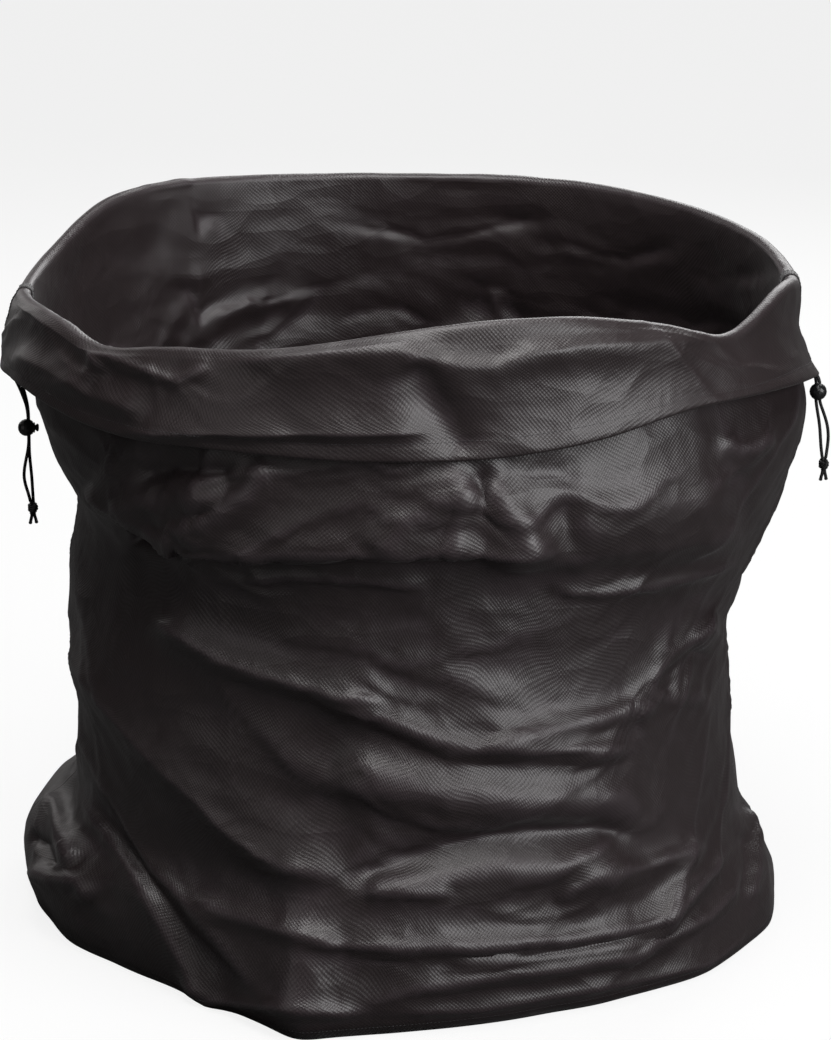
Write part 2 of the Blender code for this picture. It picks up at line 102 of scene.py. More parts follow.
def gridMesh(name, places, uvs, wrapped=False, capped=False):
    # places and uvs are [column, row]; the outside is where columns run anticlockwise and rows up
    columns, rows = places.shape[:2]
    mesh = bpy.data.meshes.new(name)
    with opened(mesh) as shell:
        bmesh.ops.create_grid(shell, x_segments=columns - 1, y_segments=rows - 1, size=1.0)
    mesh.vertices.foreach_set("co", places.transpose(1, 0, 2).astype(np.float32).ravel())
    corners = np.empty(len(mesh.loops), np.int32)
    mesh.loops.foreach_get("vertex_index", corners)
    layer = mesh.uv_layers.new(name="weave")
    flat = uvs.transpose(1, 0, 2).reshape(-1, 2)
    layer.data.foreach_set("uv", flat[corners].astype(np.float32).ravel())
    if wrapped:
        with opened(mesh) as shell:
            bmesh.ops.remove_doubles(shell, verts=shell.verts, dist=1e-6)
            if capped:
                rims = [edge for edge in shell.edges if edge.is_boundary]
                bmesh.ops.holes_fill(shell, edges=rims, sides=0)
    mesh.shade_smooth()
    mesh.update()
    return mesh


def between(a, b, c, d, part):
    # on the smooth curve from b to c, whose neighbours are a and d
    bend = (c - a) * part + (2 * a - 5 * b + 4 * c - d) * part ** 2
    return b + (bend + (3 * (b - c) + d - a) * part ** 3) / 2


def smoothRoute(route, perGap):
    # points on the smooth curve through a route
    places = [Vector(point) for point in route]
    before = 3 * (places[0] - places[1]) + places[2]
    after = 3 * (places[-1] - places[-2]) + places[-3]
    ends = [before, *places, after]
    gaps = len(places) - 1
    count = int(perGap * gaps)
    points = []
    for step in range(count + 1):
        at = step * gaps / count
        index = min(int(at), gaps - 1)
        points.append(between(*ends[index:index + 4], at - index))
    return points


def tubeMesh(name, points, radius, sides):
    # a round tube along points, its section carried along without twist
    path = np.array([tuple(point) for point in points])
    along = unit(np.gradient(path, axis=0))
    side = np.cross(along[0], (0.0, 0.0, 1.0))
    if np.linalg.norm(side) < 0.1:
        side = np.cross(along[0], (1.0, 0.0, 0.0))
    radii = np.broadcast_to(radius, (len(path),))
    turns = np.linspace(0.0, 2 * np.pi, sides + 1)
    places = np.empty((sides + 1, len(path), 3))
    uvs = np.empty((sides + 1, len(path), 2))
    uvs[..., 0] = (turns / (2 * np.pi))[:, None]
    uvs[..., 1] = distances(path)
    for row, (point, way) in enumerate(zip(path, along)):
        side = side - way * side.dot(way)
        side /= np.linalg.norm(side)
        ring = np.outer(np.cos(turns), side) + np.outer(np.sin(turns), np.cross(way, side))
        ring[-1] = ring[0]
        places[:, row] = point + radii[row] * ring
    return gridMesh(name, places, uvs, wrapped=True, capped=True)


# camera, at the photograph's angle
cameraValues = {
    "place": (0.0053, -3.4, 1.33), "pitch": 15.5, "lens": 123.2, "sensor": 36.0,
    "picture": (831, 1040),
}


def makeCamera(values):
    data = bpy.data.cameras.new("photoCamera")
    data.lens = values["lens"]
    data.sensor_width = values["sensor"]
    camera = bpy.data.objects.new("photoCamera", data)
    camera.location = values["place"]
    camera.rotation_euler = (math.radians(90 - values["pitch"]), 0.0, 0.0)
    scene.collection.objects.link(camera)
    scene.camera = camera


def toPicture(places, values):
    # where points show in the photograph, in its pixels from the top left
    pitch = math.radians(values["pitch"])
    wide, tall = values["picture"]
    focal = values["lens"] / values["sensor"] * tall
    offset = places - np.array(values["place"])
    deep = offset[..., 1] * math.cos(pitch) - offset[..., 2] * math.sin(pitch)
    high = offset[..., 1] * math.sin(pitch) + offset[..., 2] * math.cos(pitch)
    return wide / 2 + focal * offset[..., 0] / deep, tall / 2 - focal * high / deep


makeCamera(cameraValues)
scene.view_settings.view_transform = "Standard"
print("camera placed")


def feed(tree, node, inputs):
    # links outputs to a node's inputs and sets the rest as they are
    for key, value in inputs.items():
        if isinstance(value, bpy.types.NodeSocket):
            tree.links.new(value, node.inputs[key])
        else:
            node.inputs[key].default_value = value


def addNode(tree, kind, inputs, **settings):
    node = tree.nodes.new("ShaderNode" + kind)
    for key, value in settings.items():
        setattr(node, key, value)
    feed(tree, node, inputs)
    return node.outputs


def calc(tree, operation, first, second=0.0, third=0.0):
    return addNode(tree, "Math", {0: first, 1: second, 2: third}, operation=operation)[0]


def mixTones(tree, share, first, second):
    inputs = {"Factor": share, "A": first, "B": second}
    return addNode(tree, "Mix", inputs, data_type="RGBA")["Result"]


def cloudy(tree, place, scale, detail, **more):
    inputs = {"Vector": place, "Scale": scale, "Detail": detail, **more}
    return addNode(tree, "TexNoise", inputs)


def bump(tree, height, distance, strength=1.0, **under):
    inputs = {"Height": height, "Distance": distance, "Strength": strength, **under}
    return addNode(tree, "Bump", inputs)[0]


def onPiece(tree):
    return addNode(tree, "TexCoord", {})["Object"]


def onWeave(tree):
    return addNode(tree, "UVMap", {}, uv_map="weave")[0]


def newMaterial(name):
    material = bpy.data.materials.new(name)
    material.use_nodes = True
    tree = material.node_tree
    return material, tree, tree.nodes["Principled BSDF"]


def newGroup(name, inputs, outputs):
    # takes a vector and numbers, gives numbers
    group = bpy.data.node_groups.new(name, "ShaderNodeTree")
    addSocket = group.interface.new_socket
    addSocket("Vector", in_out="INPUT", socket_type="NodeSocketVector")
    for title, value in inputs.items():
        addSocket(title, in_out="INPUT", socket_type="NodeSocketFloat").default_value = value
    for title in outputs:
        addSocket(title, in_out="OUTPUT", socket_type="NodeSocketFloat")
    given = group.nodes.new("NodeGroupInput").outputs
    return group, given, group.nodes.new("NodeGroupOutput")


patternValues = {
    "threads": (0.25, 0.5), "threadPower": 2.0,      # brings the threads' height to 0 to 1
    "creaseScale": 26.0, "crease": (3.0, 0.6), "tone": (3.5, 4.0, 0.6),
    "facetScale": 8.0, "facet": (1.0, 0.5), "warpNoise": (5.0, 2.0), "warp": (0.24, 0.24, 0.24),
    "stretch": (1.0, 1.0, 1.9),      # facets wider than tall
}


def makeWeaveGroup(values):
    # raised crossings of two thread directions that lie at 45 degrees to the pattern's own axes
    group, given, result = newGroup("wovenThreads", {"Pitch": 0.003}, ("Height", "Gap"))
    split = addNode(group, "SeparateXYZ", {0: given["Vector"]})
    turn = calc(group, "DIVIDE", 2 * math.pi / math.sqrt(2), given["Pitch"])
    waves = []
    for operation in ("ADD", "SUBTRACT"):
        across = calc(group, operation, split["X"], split["Y"])
        waves.append(calc(group, "SINE", calc(group, "MULTIPLY", across, turn)))
    height = calc(group, "MULTIPLY_ADD", calc(group, "ADD", *waves), *values["threads"])
    # Gap is high on the raised crowns, which the cloth paints lighter as a painted highlight
    gap = calc(group, "POWER", height, values["threadPower"])
    feed(group, result, {"Height": height, "Gap": gap})
    return group


def makeCreaseGroup(values):
    # small soft creases as a height, and slow changes of tone
    scale = {"Scale": values["creaseScale"]}
    group, given, result = newGroup("fineCreases", scale, ("Height", "Tone"))
    detail, bend = values["crease"]
    wide = cloudy(group, given["Vector"], given["Scale"], detail, Distortion=bend)[0]
    ridge = calc(group, "ABSOLUTE", calc(group, "SUBTRACT", wide, 0.5))
    height = calc(group, "SUBTRACT", 1.0, calc(group, "MULTIPLY", ridge, 2.0))
    scale, detail, rough = values["tone"]
    tone = cloudy(group, given["Vector"], scale, detail, Roughness=rough)[0]
    feed(group, result, {"Height": height, "Tone": tone})
    return group


def makeCrumpleGroup(values):
    # flat facets that meet in soft creases, as in coated cloth that was packed flat
    scale = {"Scale": values["facetScale"]}
    group, given, result = newGroup("crumpledFacets", scale, ("Height",))

    def combine(operation, first, second):
        return addNode(group, "VectorMath", {0: first, 1: second}, operation=operation)[0]

    bend = cloudy(group, given["Vector"], *values["warpNoise"])["Color"]
    bend = combine("MULTIPLY", bend, values["warp"])
    place = combine("MULTIPLY", given["Vector"], values["stretch"])
    detail, rough = values["facet"]
    facets = addNode(group, "TexVoronoi", {
        "Vector": combine("ADD", place, bend), "Scale": given["Scale"], "Detail": detail,
        "Roughness": rough,
    })
    feed(group, result, {"Height": facets["Distance"]})
    return group


weaveGroup = makeWeaveGroup(patternValues)
creaseGroup = makeCreaseGroup(patternValues)
crumpleGroup = makeCrumpleGroup(patternValues)

clothValues = {
    "deep": (0.0085, 0.0044, 0.0044, 1.0),
    "plain": (0.0140, 0.0078, 0.0084, 1.0),
    # the lighter tone for rubbed folds, which also goes on the raised thread crowns as a painted
    # highlight
    "wornAndCrownLight": (0.036, 0.026, 0.030, 1.0), "threadCrownLight": 0.35,
    "pitch": 0.0027, "weaveDepth": 0.00020,
    "creaseDepth": 0.0010, "creaseStrength": 0.55,
    "facetScale": 8.0, "facetDepth": 0.008, "facetStrength": 0.5,
    "roughness": 0.42, "toneRoughness": 0.16, "threadRoughness": -0.10,
    "sheen": 0.05, "sheenRoughness": 0.4, "specular": 0.68,
}
tapeLook = {
    **clothValues, "deep": (0.0085, 0.0065, 0.0072, 1.0), "plain": (0.0150, 0.0115, 0.0125, 1.0),
    "wornAndCrownLight": (0.032, 0.029, 0.031, 1.0), "pitch": 0.0014, "weaveDepth": 0.00025,
    "creaseDepth": 0.0004, "facetScale": 14.0, "facetDepth": 0.002, "roughness": 0.60,
    "sheen": 0.15,
}


def makeClothMaterial(name, values):
    material, tree, shader = newMaterial(name)
    place = onPiece(tree)
    weave = addNode(
        tree, "Group", {"Vector": onWeave(tree), "Pitch": values["pitch"]}, node_tree=weaveGroup)
    crease = addNode(tree, "Group", {"Vector": place}, node_tree=creaseGroup)
    crumple = addNode(
        tree, "Group", {"Vector": place, "Scale": values["facetScale"]}, node_tree=crumpleGroup)
    wear = addNode(tree, "Attribute", {}, attribute_name="wear")["Fac"]
    # painted highlight: the raised thread crowns are mixed toward the lighter tone
    threadCrownLight = calc(tree, "MULTIPLY", weave["Gap"], values["threadCrownLight"])
    tone = mixTones(tree, crease["Tone"], values["deep"], values["plain"])
    tone = mixTones(tree, threadCrownLight, tone, values["wornAndCrownLight"])
    rough = calc(
        tree, "MULTIPLY_ADD", crease["Tone"], values["toneRoughness"], values["roughness"])
    normal = bump(tree, crumple["Height"], values["facetDepth"], values["facetStrength"])
    normal = bump(
        tree, crease["Height"], values["creaseDepth"], values["creaseStrength"], Normal=normal)
    feed(tree, shader, {
        "Base Color": mixTones(tree, wear, tone, values["wornAndCrownLight"]),
        "Roughness": calc(
            tree, "MULTIPLY_ADD", weave["Height"], values["threadRoughness"], rough),
        "Normal": bump(tree, weave["Height"], values["weaveDepth"], Normal=normal),
        "Sheen Weight": values["sheen"], "Sheen Roughness": values["sheenRoughness"],
        "Specular IOR Level": values["specular"],
    })
    return material


cordLook = {
    # the darker tone is painted shade in the braid's grooves, the lighter one a painted highlight
    # on the strand tops
    "grooveShade": (0.003, 0.003, 0.0033, 1.0), "light": (0.012, 0.0115, 0.0125, 1.0),
    "strands": 6.0, "pitch": 0.0050, "roughness": 0.62, "depth": 0.0003, "specular": 0.35,
}


def makeCordMaterial(values):
    # a round braid: two families of strands that wind opposite ways, painted darker in the grooves
    # as shade and lighter on the strand tops as a painted highlight
    material, tree, shader = newMaterial("braidedCord")
    split = addNode(tree, "SeparateXYZ", {0: onWeave(tree)})
    around = calc(tree, "MULTIPLY", split["X"], 2 * math.pi * values["strands"] / 2)
    along = calc(tree, "MULTIPLY", split["Y"], 2 * math.pi / values["pitch"])
    height = calc(tree, "MAXIMUM", *(
        calc(tree, "ABSOLUTE", calc(tree, "SINE", calc(tree, operation, around, along)))
        for operation in ("ADD", "SUBTRACT")
    ))
    feed(tree, shader, {
        # painted shade in the grooves, painted highlight on the strand tops
        "Base Color": mixTones(tree, height, values["grooveShade"], values["light"]),
        "Normal": bump(tree, height, values["depth"]),
        "Roughness": values["roughness"], "Specular IOR Level": values["specular"],
    })
    return material


clothMaterial = makeClothMaterial("sackCloth", clothValues)
cordMaterial = makeCordMaterial(cordLook)

# the cord's free legs: lengths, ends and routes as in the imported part
cordValues = {"diameter": 0.0032, "sides": 16, "perGap": 4}
legRoutes = {
    "left_front_leg": (
        (-0.3966, -0.0099, 0.5476), (-0.3963, -0.0065, 0.547), (-0.3952, -0.0038, 0.5452),
        (-0.3935, -0.0026, 0.5424), (-0.3913, -0.0022, 0.5388), (-0.3886, -0.002, 0.5341),
        (-0.3856, -0.0019, 0.5281), (-0.3825, -0.0018, 0.5209), (-0.3796, -0.0018, 0.513),
        (-0.377, -0.00185, 0.5048), (-0.3758, -0.00175, 0.4968), (-0.3755, -0.00175, 0.4892),
        (-0.3755, -0.00175, 0.4816), (-0.3755, -0.00175, 0.474), (-0.3757, -0.0018, 0.4664),
        (-0.3768, -0.0021, 0.4584), (-0.3786, -0.0023, 0.45), (-0.3804, -0.0024, 0.441),
        (-0.3811, -0.0023, 0.4325), (-0.38, -0.002, 0.424), (-0.3777, -0.0018, 0.4155),
        (-0.3757, -0.00175, 0.4069),
    ),
    "left_back_leg": (
        (-0.3966, 0.0099, 0.5476), (-0.396, 0.0066, 0.5471), (-0.3943, 0.0041, 0.5455),
        (-0.3918, 0.003, 0.5431), (-0.3888, 0.0026, 0.5396), (-0.3858, 0.0024, 0.535),
        (-0.3829, 0.0022, 0.529), (-0.3802, 0.002, 0.5218), (-0.378, 0.0019, 0.5137),
        (-0.3764, 0.0018, 0.5053), (-0.3756, 0.00175, 0.497), (-0.3755, 0.00175, 0.4892),
        (-0.3755, 0.00175, 0.4816), (-0.3755, 0.00175, 0.474), (-0.3756, 0.0018, 0.4664),
        (-0.3757, 0.0021, 0.4584), (-0.3754, 0.0023, 0.45), (-0.3748, 0.0024, 0.441),
        (-0.3742, 0.0023, 0.4325), (-0.3738, 0.002, 0.424), (-0.3735, 0.0018, 0.4155),
        (-0.3732, 0.00175, 0.4069),
    ),
    "right_front_leg": (
        (0.3966, -0.0099, 0.5355), (0.3967, -0.0054, 0.5348), (0.3971, -0.0016, 0.5329),
        (0.3979, 0.0009, 0.5299), (0.3986, 0.0018, 0.526), (0.39875, 0.0019, 0.522),
        (0.39875, 0.0019, 0.518), (0.39875, 0.0019, 0.514), (0.39885, 0.0019, 0.5095),
        (0.3995, 0.0018, 0.504), (0.4007, 0.0015, 0.497), (0.4022, 0.0013, 0.489),
        (0.4034, 0.0012, 0.4805), (0.4042, 0.0012, 0.472), (0.4049, 0.0014, 0.464),
        (0.4058, 0.0017, 0.457), (0.40675, 0.0019, 0.4509),
    ),
    "right_back_leg": (
        (0.3966, 0.0099, 0.5355), (0.3975, 0.0069, 0.5351), (0.3992, 0.0045, 0.5335),
        (0.4009, 0.0029, 0.5305), (0.402, 0.0021, 0.5263), (0.40225, 0.0019, 0.522),
        (0.40225, 0.0019, 0.518), (0.40225, 0.0019, 0.514), (0.40245, 0.0019, 0.5095),
        (0.4038, 0.002, 0.504), (0.4064, 0.0023, 0.497), (0.4092, 0.0026, 0.489),
        (0.4113, 0.0028, 0.4805), (0.4121, 0.0028, 0.472), (0.4118, 0.0026, 0.464),
        (0.411, 0.0022, 0.457), (0.41025, 0.0019, 0.4509),
    ),
}

# places on a knot are from its centre; the tail's are for one strand, the other is mirrored
knotValues = {
    "centres": {"left": (-0.3735, 0.0, 0.4000), "right": (0.4085, 0.0019, 0.4440)},
    "radius": 0.0016, "sides": 14, "perGap": 5,
    "wrapRadius": 0.0036, "wraps": 3.0, "perWrap": 18, "height": 0.006768, "flatness": 0.92,
    "narrower": 0.35, "endShare": 0.18,       # how much tighter the ends of the wraps are
    "over": (
        ((0.0012, -0.0030, 0.0048), (0.0026, -0.0046, 0.0024), (0.0014, -0.0056, -0.0004),
         (-0.0008, -0.0050, -0.0030), (-0.0016, -0.0028, -0.0050)),
        ((-0.0012, 0.0030, 0.0046), (-0.0024, 0.0046, 0.0020), (-0.0012, 0.0055, -0.0008),
         (0.0008, 0.0046, -0.0032), (0.0016, 0.0026, -0.0050)),
    ),
    "tail": ((0.0006, 0.0012, 0.0030), (0.0009, 0.0010, -0.0040), (0.00135, 0.0012, -0.0085),
             (0.0024, 0.0014, -0.012948), (0.0030, 0.0015, -0.0166)),
    "tailEnd": (1.05, 1.16, 1.10, 0.62),      # the cut end's thickness, in cord radii
}


def makeKnot(side, values):
    # both strands run down through tight wraps and two strands that slant over them
    name = f"{side}Knot"
    centre = Vector(values["centres"][side])
    radius = values["radius"]
    steps = int(values["wraps"] * values["perWrap"])
    helix = []
    for step in range(steps + 1):
        share = step / steps
        turn = 2 * math.pi * values["wraps"] * share
        end = max(0.0, 1 - min(share, 1 - share) / values["endShare"])
        around = values["wrapRadius"] * (1 - values["narrower"] * end * end)
        helix.append(centre + Vector((
            around * math.cos(turn), values["flatness"] * around * math.sin(turn),
            values["height"] * (0.5 - share),
        )))
    tubes = [(helix, radius)]
    for path in values["over"]:
        route = [centre + Vector(point) for point in path]
        tubes.append((smoothRoute(route, values["perGap"]), radius))
    for way, leg in ((-1, f"{side}_front_leg"), (1, f"{side}_back_leg")):
        route = [Vector(legRoutes[leg][-1])]
        route += [centre + Vector((way * x, way * y, z)) for x, y, z in values["tail"]]
        points = smoothRoute(route, values["perGap"])
        radii = np.full(len(points), radius)
        radii[-len(values["tailEnd"]):] *= values["tailEnd"]
        tubes.append((points, radii))
    mesh = bpy.data.meshes.new(name)
    with opened(mesh) as shell:
        for points, radii in tubes:
            shell.from_mesh(tubeMesh(name, points, radii, values["sides"]))
    mesh.shade_smooth()
    return addPiece(name, mesh, cordMaterial, f"{side}_knot")


def makeLegs(values, knots):
    for node, route in legRoutes.items():
        points = smoothRoute(route, values["perGap"])
        side, way, _ = node.split("_")
        name = f"{side}{way.title()}Leg"
        mesh = tubeMesh(name, points, values["diameter"] / 2, values["sides"])
        leg = addPiece(name, mesh, cordMaterial, node)


makeLegs(cordValues, {side: makeKnot(side, knotValues) for side in ("left", "right")})
print("cord legs and knots made")

plasticValues = {
    "colour": (0.007, 0.007, 0.0078, 1.0), "rubbed": (0.018, 0.018, 0.019, 1.0),
    "roughness": 0.23, "cloudRoughness": 0.22, "grainDepth": 0.00004,
    "cloud": (160.0, 4.0), "grain": (900.0, 1.0),       # size and detail of the patterns
    "cloudRange": (0.5, 0.75, 0.0, 0.7),
}


def makePlasticMaterial(values):
    # moulded plastic: a fine spark-eroded grain and cloudy, slightly rubbed places
    material, tree, shader = newMaterial("mouldedPlastic")
    place = onPiece(tree)
    cloud = cloudy(tree, place, *values["cloud"])[0]
    grain = cloudy(tree, place, *values["grain"])[0]
    rubbed = addNode(tree, "MapRange", dict(enumerate((cloud, *values["cloudRange"]))))[0]
    feed(tree, shader, {
        "Base Color": mixTones(tree, rubbed, values["colour"], values["rubbed"]),
        "Roughness": calc(
            tree, "MULTIPLY_ADD", cloud, values["cloudRoughness"], values["roughness"]),
        "Normal": bump(tree, grain, values["grainDepth"]),
    })
    return material


def dressLocks(material):
    for side in ("left", "right"):
        for part in ("body", "plunger"):
            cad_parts[f"{side}_lock_{part}"].material_slots[0].material = material


springValues = {
    "wire": 0.00045, "turns": 3, "perTurn": 14, "sides": 8, "travel": 0.00305,
    "bright": (0.62, 0.62, 0.61, 1.0), "dull": (0.40, 0.39, 0.38, 1.0), "mark": (700.0, 3.0),
    "markDepth": 0.00001, "roughness": 0.16, "markRoughness": 0.2,
}


def makeSteelMaterial(values):
    # drawn spring wire with faint marks
    material, tree, shader = newMaterial("springSteel")
    mark = cloudy(tree, onPiece(tree), *values["mark"])[0]
    feed(tree, shader, {
        "Base Color": mixTones(tree, mark, values["dull"], values["bright"]), "Metallic": 1.0,
        "Roughness": calc(
            tree, "MULTIPLY_ADD", mark, values["markRoughness"], values["roughness"]),
        "Normal": bump(tree, mark, values["markDepth"]),
    })
    return material


def makeSprings(values):
    # each spring lies along its plunger and shortens as the plunger goes in
    steel = makeSteelMaterial(values)
    wire = values["wire"] / 2
    for side, axis in (("left", 0), ("right", 1)):
        node = f"{side}_lock_spring"
        low, high = (np.array(corner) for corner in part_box(node))
        size = high - low
        way, out, up = np.eye(3)[[axis, 1 - axis, 2]]
        around = np.delete(size, axis).max() / 2 - wire
        start = (low + high) / 2 - way * size[axis] / 2
        points = []
        for share in np.linspace(0, 1, values["turns"] * values["perTurn"] + 1):
            turn = 2 * math.pi * values["turns"] * share
            ring = around * (math.cos(turn) * out + math.sin(turn) * up)
            points.append(start + way * (wire + (size[axis] - 2 * wire) * share) + ring)
        name = f"{side}LockSpring"
        mesh = tubeMesh(name, points, wire, values["sides"])
        spring = addPiece(name, mesh, steel, node, f"{side}_lock")
        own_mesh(spring)


dressLocks(makePlasticMaterial(plasticValues))
makeSprings(springValues)
print("locks dressed and springs made")

# the sack's shape
sackValues = {
    "columns": 504,          # round the sack, even
    "wallRows": 71, "crestRows": 4, "cuffRows": 15,     # before each gap is split
    "crestRadius": 0.007, "thickness": 0.0008, "lowest": 0.0009, "seamGap": 0.00015,
    "footFade": (0.02, 0.22), "crestFade": (0.80, 1.0),
    "roundPasses": 14, "footPasses": 2, "heightPasses": 28, "heightSteps": 400,
    "weaveReach": 14,        # columns over which the weave evens out beside a fold
    "earlyFolds": 0.25,      # share of each fold's lift that is there before the cloth settles
}

# silhouettes of the wall: height, then the distance from the middle, for four directions
wallOutline = {
    "left": (
        (0.0, 0.383), (0.03, 0.391), (0.06, 0.393), (0.09, 0.379), (0.107, 0.349), (0.126, 0.334),
        (0.18, 0.329), (0.22, 0.33), (0.25, 0.336), (0.3, 0.337), (0.35, 0.335), (0.39, 0.328),
        (0.418, 0.322), (0.44, 0.331), (0.46, 0.341), (0.489, 0.354), (0.527, 0.364), (0.57, 0.368),
        (0.66, 0.372),
    ),
    "right": (
        (0.0, 0.368), (0.03, 0.367), (0.06, 0.352), (0.095, 0.332), (0.11, 0.328), (0.14, 0.326),
        (0.18, 0.319), (0.25, 0.314), (0.3, 0.31), (0.35, 0.326), (0.39, 0.343), (0.418, 0.356),
        (0.46, 0.371), (0.489, 0.38), (0.51, 0.385), (0.54, 0.383), (0.57, 0.37), (0.66, 0.36),
    ),
    "front": (
        (0.0, 0.368), (0.03, 0.374), (0.06, 0.373), (0.1, 0.368), (0.15, 0.361), (0.2, 0.355),
        (0.26, 0.35), (0.32, 0.346), (0.37, 0.345), (0.42, 0.348), (0.45, 0.354), (0.48, 0.362),
        (0.52, 0.368), (0.57, 0.368), (0.66, 0.362),
    ),
    "back": (
        (0.0, 0.37), (0.03, 0.376), (0.07, 0.372), (0.11, 0.362), (0.16, 0.354), (0.22, 0.348),
        (0.28, 0.343), (0.34, 0.342), (0.39, 0.346), (0.44, 0.354), (0.48, 0.36), (0.53, 0.365),
        (0.58, 0.366), (0.69, 0.365),
    ),
}

# by angle in degrees, anticlockwise from the right side
roundFacts = {
    "foot": (
        (0, 1.0), (25, 0.98), (45, 0.955), (70, 0.97), (90, 1.0), (115, 0.985), (135, 0.96),
        (160, 1.02), (176, 1.0), (186, 0.99), (195, 0.965), (205, 0.962), (215, 0.93), (226, 0.924),
        (235, 0.93), (243, 0.966), (249.5, 1.024), (255.3, 1.095), (259, 1.055), (263, 1.031),
        (271.5, 0.994), (280, 0.971), (292, 0.95), (300, 0.958), (305.5, 0.956), (312, 0.968),
        (318.4, 0.985), (326.5, 0.985), (334, 0.99), (343, 1.01), (350, 1.005),
    ),
    "crestHeight": (
        (0, 0.632), (10, 0.646), (20, 0.654), (35, 0.661), (60, 0.67), (85, 0.669), (110, 0.672),
        (130, 0.678), (144, 0.675), (151, 0.66), (160, 0.64), (170, 0.628), (180, 0.622),
        (190, 0.627), (200, 0.634), (208, 0.634), (216, 0.624), (221, 0.614), (226, 0.622),
        (232, 0.63), (240, 0.634), (248, 0.636), (259, 0.648), (269, 0.66), (276, 0.666),
        (283, 0.669), (291, 0.668), (300, 0.66), (311, 0.646), (319, 0.624), (324, 0.624),
        (330, 0.638), (338, 0.65), (346, 0.65), (353, 0.64),
    ),
    "crestRadius": (
        (0, 0.37), (25, 0.364), (90, 0.37), (150, 0.379), (180, 0.375), (215, 0.37), (270, 0.367),
        (340, 0.368),
    ),
    "hemHeight": (
        (0, 0.5332), (8, 0.54), (25, 0.552), (60, 0.56), (90, 0.562), (120, 0.56), (150, 0.556),
        (170, 0.55), (180, 0.5453), (187, 0.552), (194, 0.56), (203, 0.562), (212, 0.556),
        (222, 0.549), (230, 0.546), (238, 0.549), (248, 0.549), (260, 0.547), (272, 0.547),
        (281, 0.548), (288, 0.552), (294, 0.556), (299, 0.561), (304, 0.569), (311, 0.575),
        (318, 0.573), (331, 0.567), (345, 0.556), (354, 0.545),
    ),
    "hemRadius": (
        (0, 0.399), (45, 0.394), (90, 0.39), (135, 0.394), (180, 0.399), (225, 0.394), (270, 0.39),
        (315, 0.394),
    ),
    "cuffBow": (
        (0, 3.2), (30, 1.7), (90, 1.0), (150, 0.8), (180, 0.65), (210, 0.8), (270, 1.0), (330, 1.3),
    ),
}

hemValues = {
    "roll": 0.0023, "turns": 6, "layerGap": (0.0042, 0.0030, 0.0018, 0.0012),
    "mouthColumns": 2, "stitchColumns": 3, "cordColumns": 4,      # left bare beside a side seam
    "pucker": 0.00035, "puckerColumns": 3, "tuck": 0.0006, "cordRadius": 0.0016, "cordSides": 12,
    "mouths": {"left": (-0.39656, 0.01044, 0.54758), "right": (0.39656, 0.01044, 0.53555)},
}


def ringAngles(count):
    return np.arange(count) * 2 * np.pi / count


def blurred(values, passes, around):
    # corners taken off by repeated averaging with the neighbours
    for _ in range(passes):
        if around:
            values = (np.roll(values, 1) + 2 * values + np.roll(values, -1)) / 4
        else:
            values[1:-1] = (values[:-2] + 2 * values[1:-1] + values[2:]) / 4
    return values


def roundValues(angles, pairs, passes):
    keys, values = zip(*pairs)
    return blurred(np.interp(np.degrees(angles), keys, values, period=360), passes, True)


def heightValues(heights, pairs):
    keys, values = np.array(pairs).T
    fine = np.linspace(keys[0], keys[-1], sackValues["heightSteps"])
    found = blurred(np.interp(fine, keys, values), sackValues["heightPasses"], False)
    return np.interp(heights, fine, found)


def wallRadius(angles, heights):
    radii = {way: heightValues(heights, pairs) for way, pairs in wallOutline.items()}
    side = np.where(np.cos(angles) >= 0, radii["right"], radii["left"])
    depth = np.where(np.sin(angles) >= 0, radii["back"], radii["front"])
    return 1 / np.hypot(np.cos(angles) / side, np.sin(angles) / depth)


def smoothStep(values, low, high):
    part = np.clip((values - low) / (high - low), 0.0, 1.0)
    return part * part * (3 - 2 * part)


def sackGrid(values):
    # [column, row] places of the cloth's middle, from the foot over the crest to the hem
    angles = ringAngles(values["columns"] // 2)
    known = {}
    for name, pairs in roundFacts.items():
        passes = values["footPasses" if name == "foot" else "roundPasses"]
        known[name] = roundValues(angles, pairs, passes)[:, None]
    roll, lowest = values["crestRadius"], values["lowest"]
    centre = known["crestHeight"] - roll
    share = np.linspace(0.0, 1.0, values["wallRows"])
    heights = lowest + (centre - lowest) * share
    radii = wallRadius(angles[:, None], heights)
    radii *= 1 + (known["foot"] - 1) * (1 - smoothStep(heights, *values["footFade"]))
    radii += (known["crestRadius"] - roll - radii) * smoothStep(share, *values["crestFade"])
    turns = np.pi * (1 - np.arange(1, values["crestRows"] + 1) / values["crestRows"])
    down = np.arange(1, values["cuffRows"] + 1) / values["cuffRows"]
    start = known["crestRadius"] + roll
    hem = known["hemHeight"] + hemValues["roll"]
    radii = np.concatenate([
        radii, known["crestRadius"] + roll * np.cos(turns),
        start + (known["hemRadius"] - start) * down ** known["cuffBow"],
    ], 1)
    heights = np.concatenate([
        heights, centre + roll * np.sin(turns), centre + (hem - centre) * down,
    ], 1)
    across, deep = np.cos(angles)[:, None], np.sin(angles)[:, None]
    return np.stack([radii * across, radii * deep, heights], -1)


def splitColumns(grid):
    # a place in the middle of every gap round the sack, on the smooth surface
    full = np.empty((2 * len(grid), *grid.shape[1:]))
    full[0::2] = grid
    full[1::2] = between(*(np.roll(grid, step, 0) for step in (1, 0, -1, -2)), 0.5)
    return full


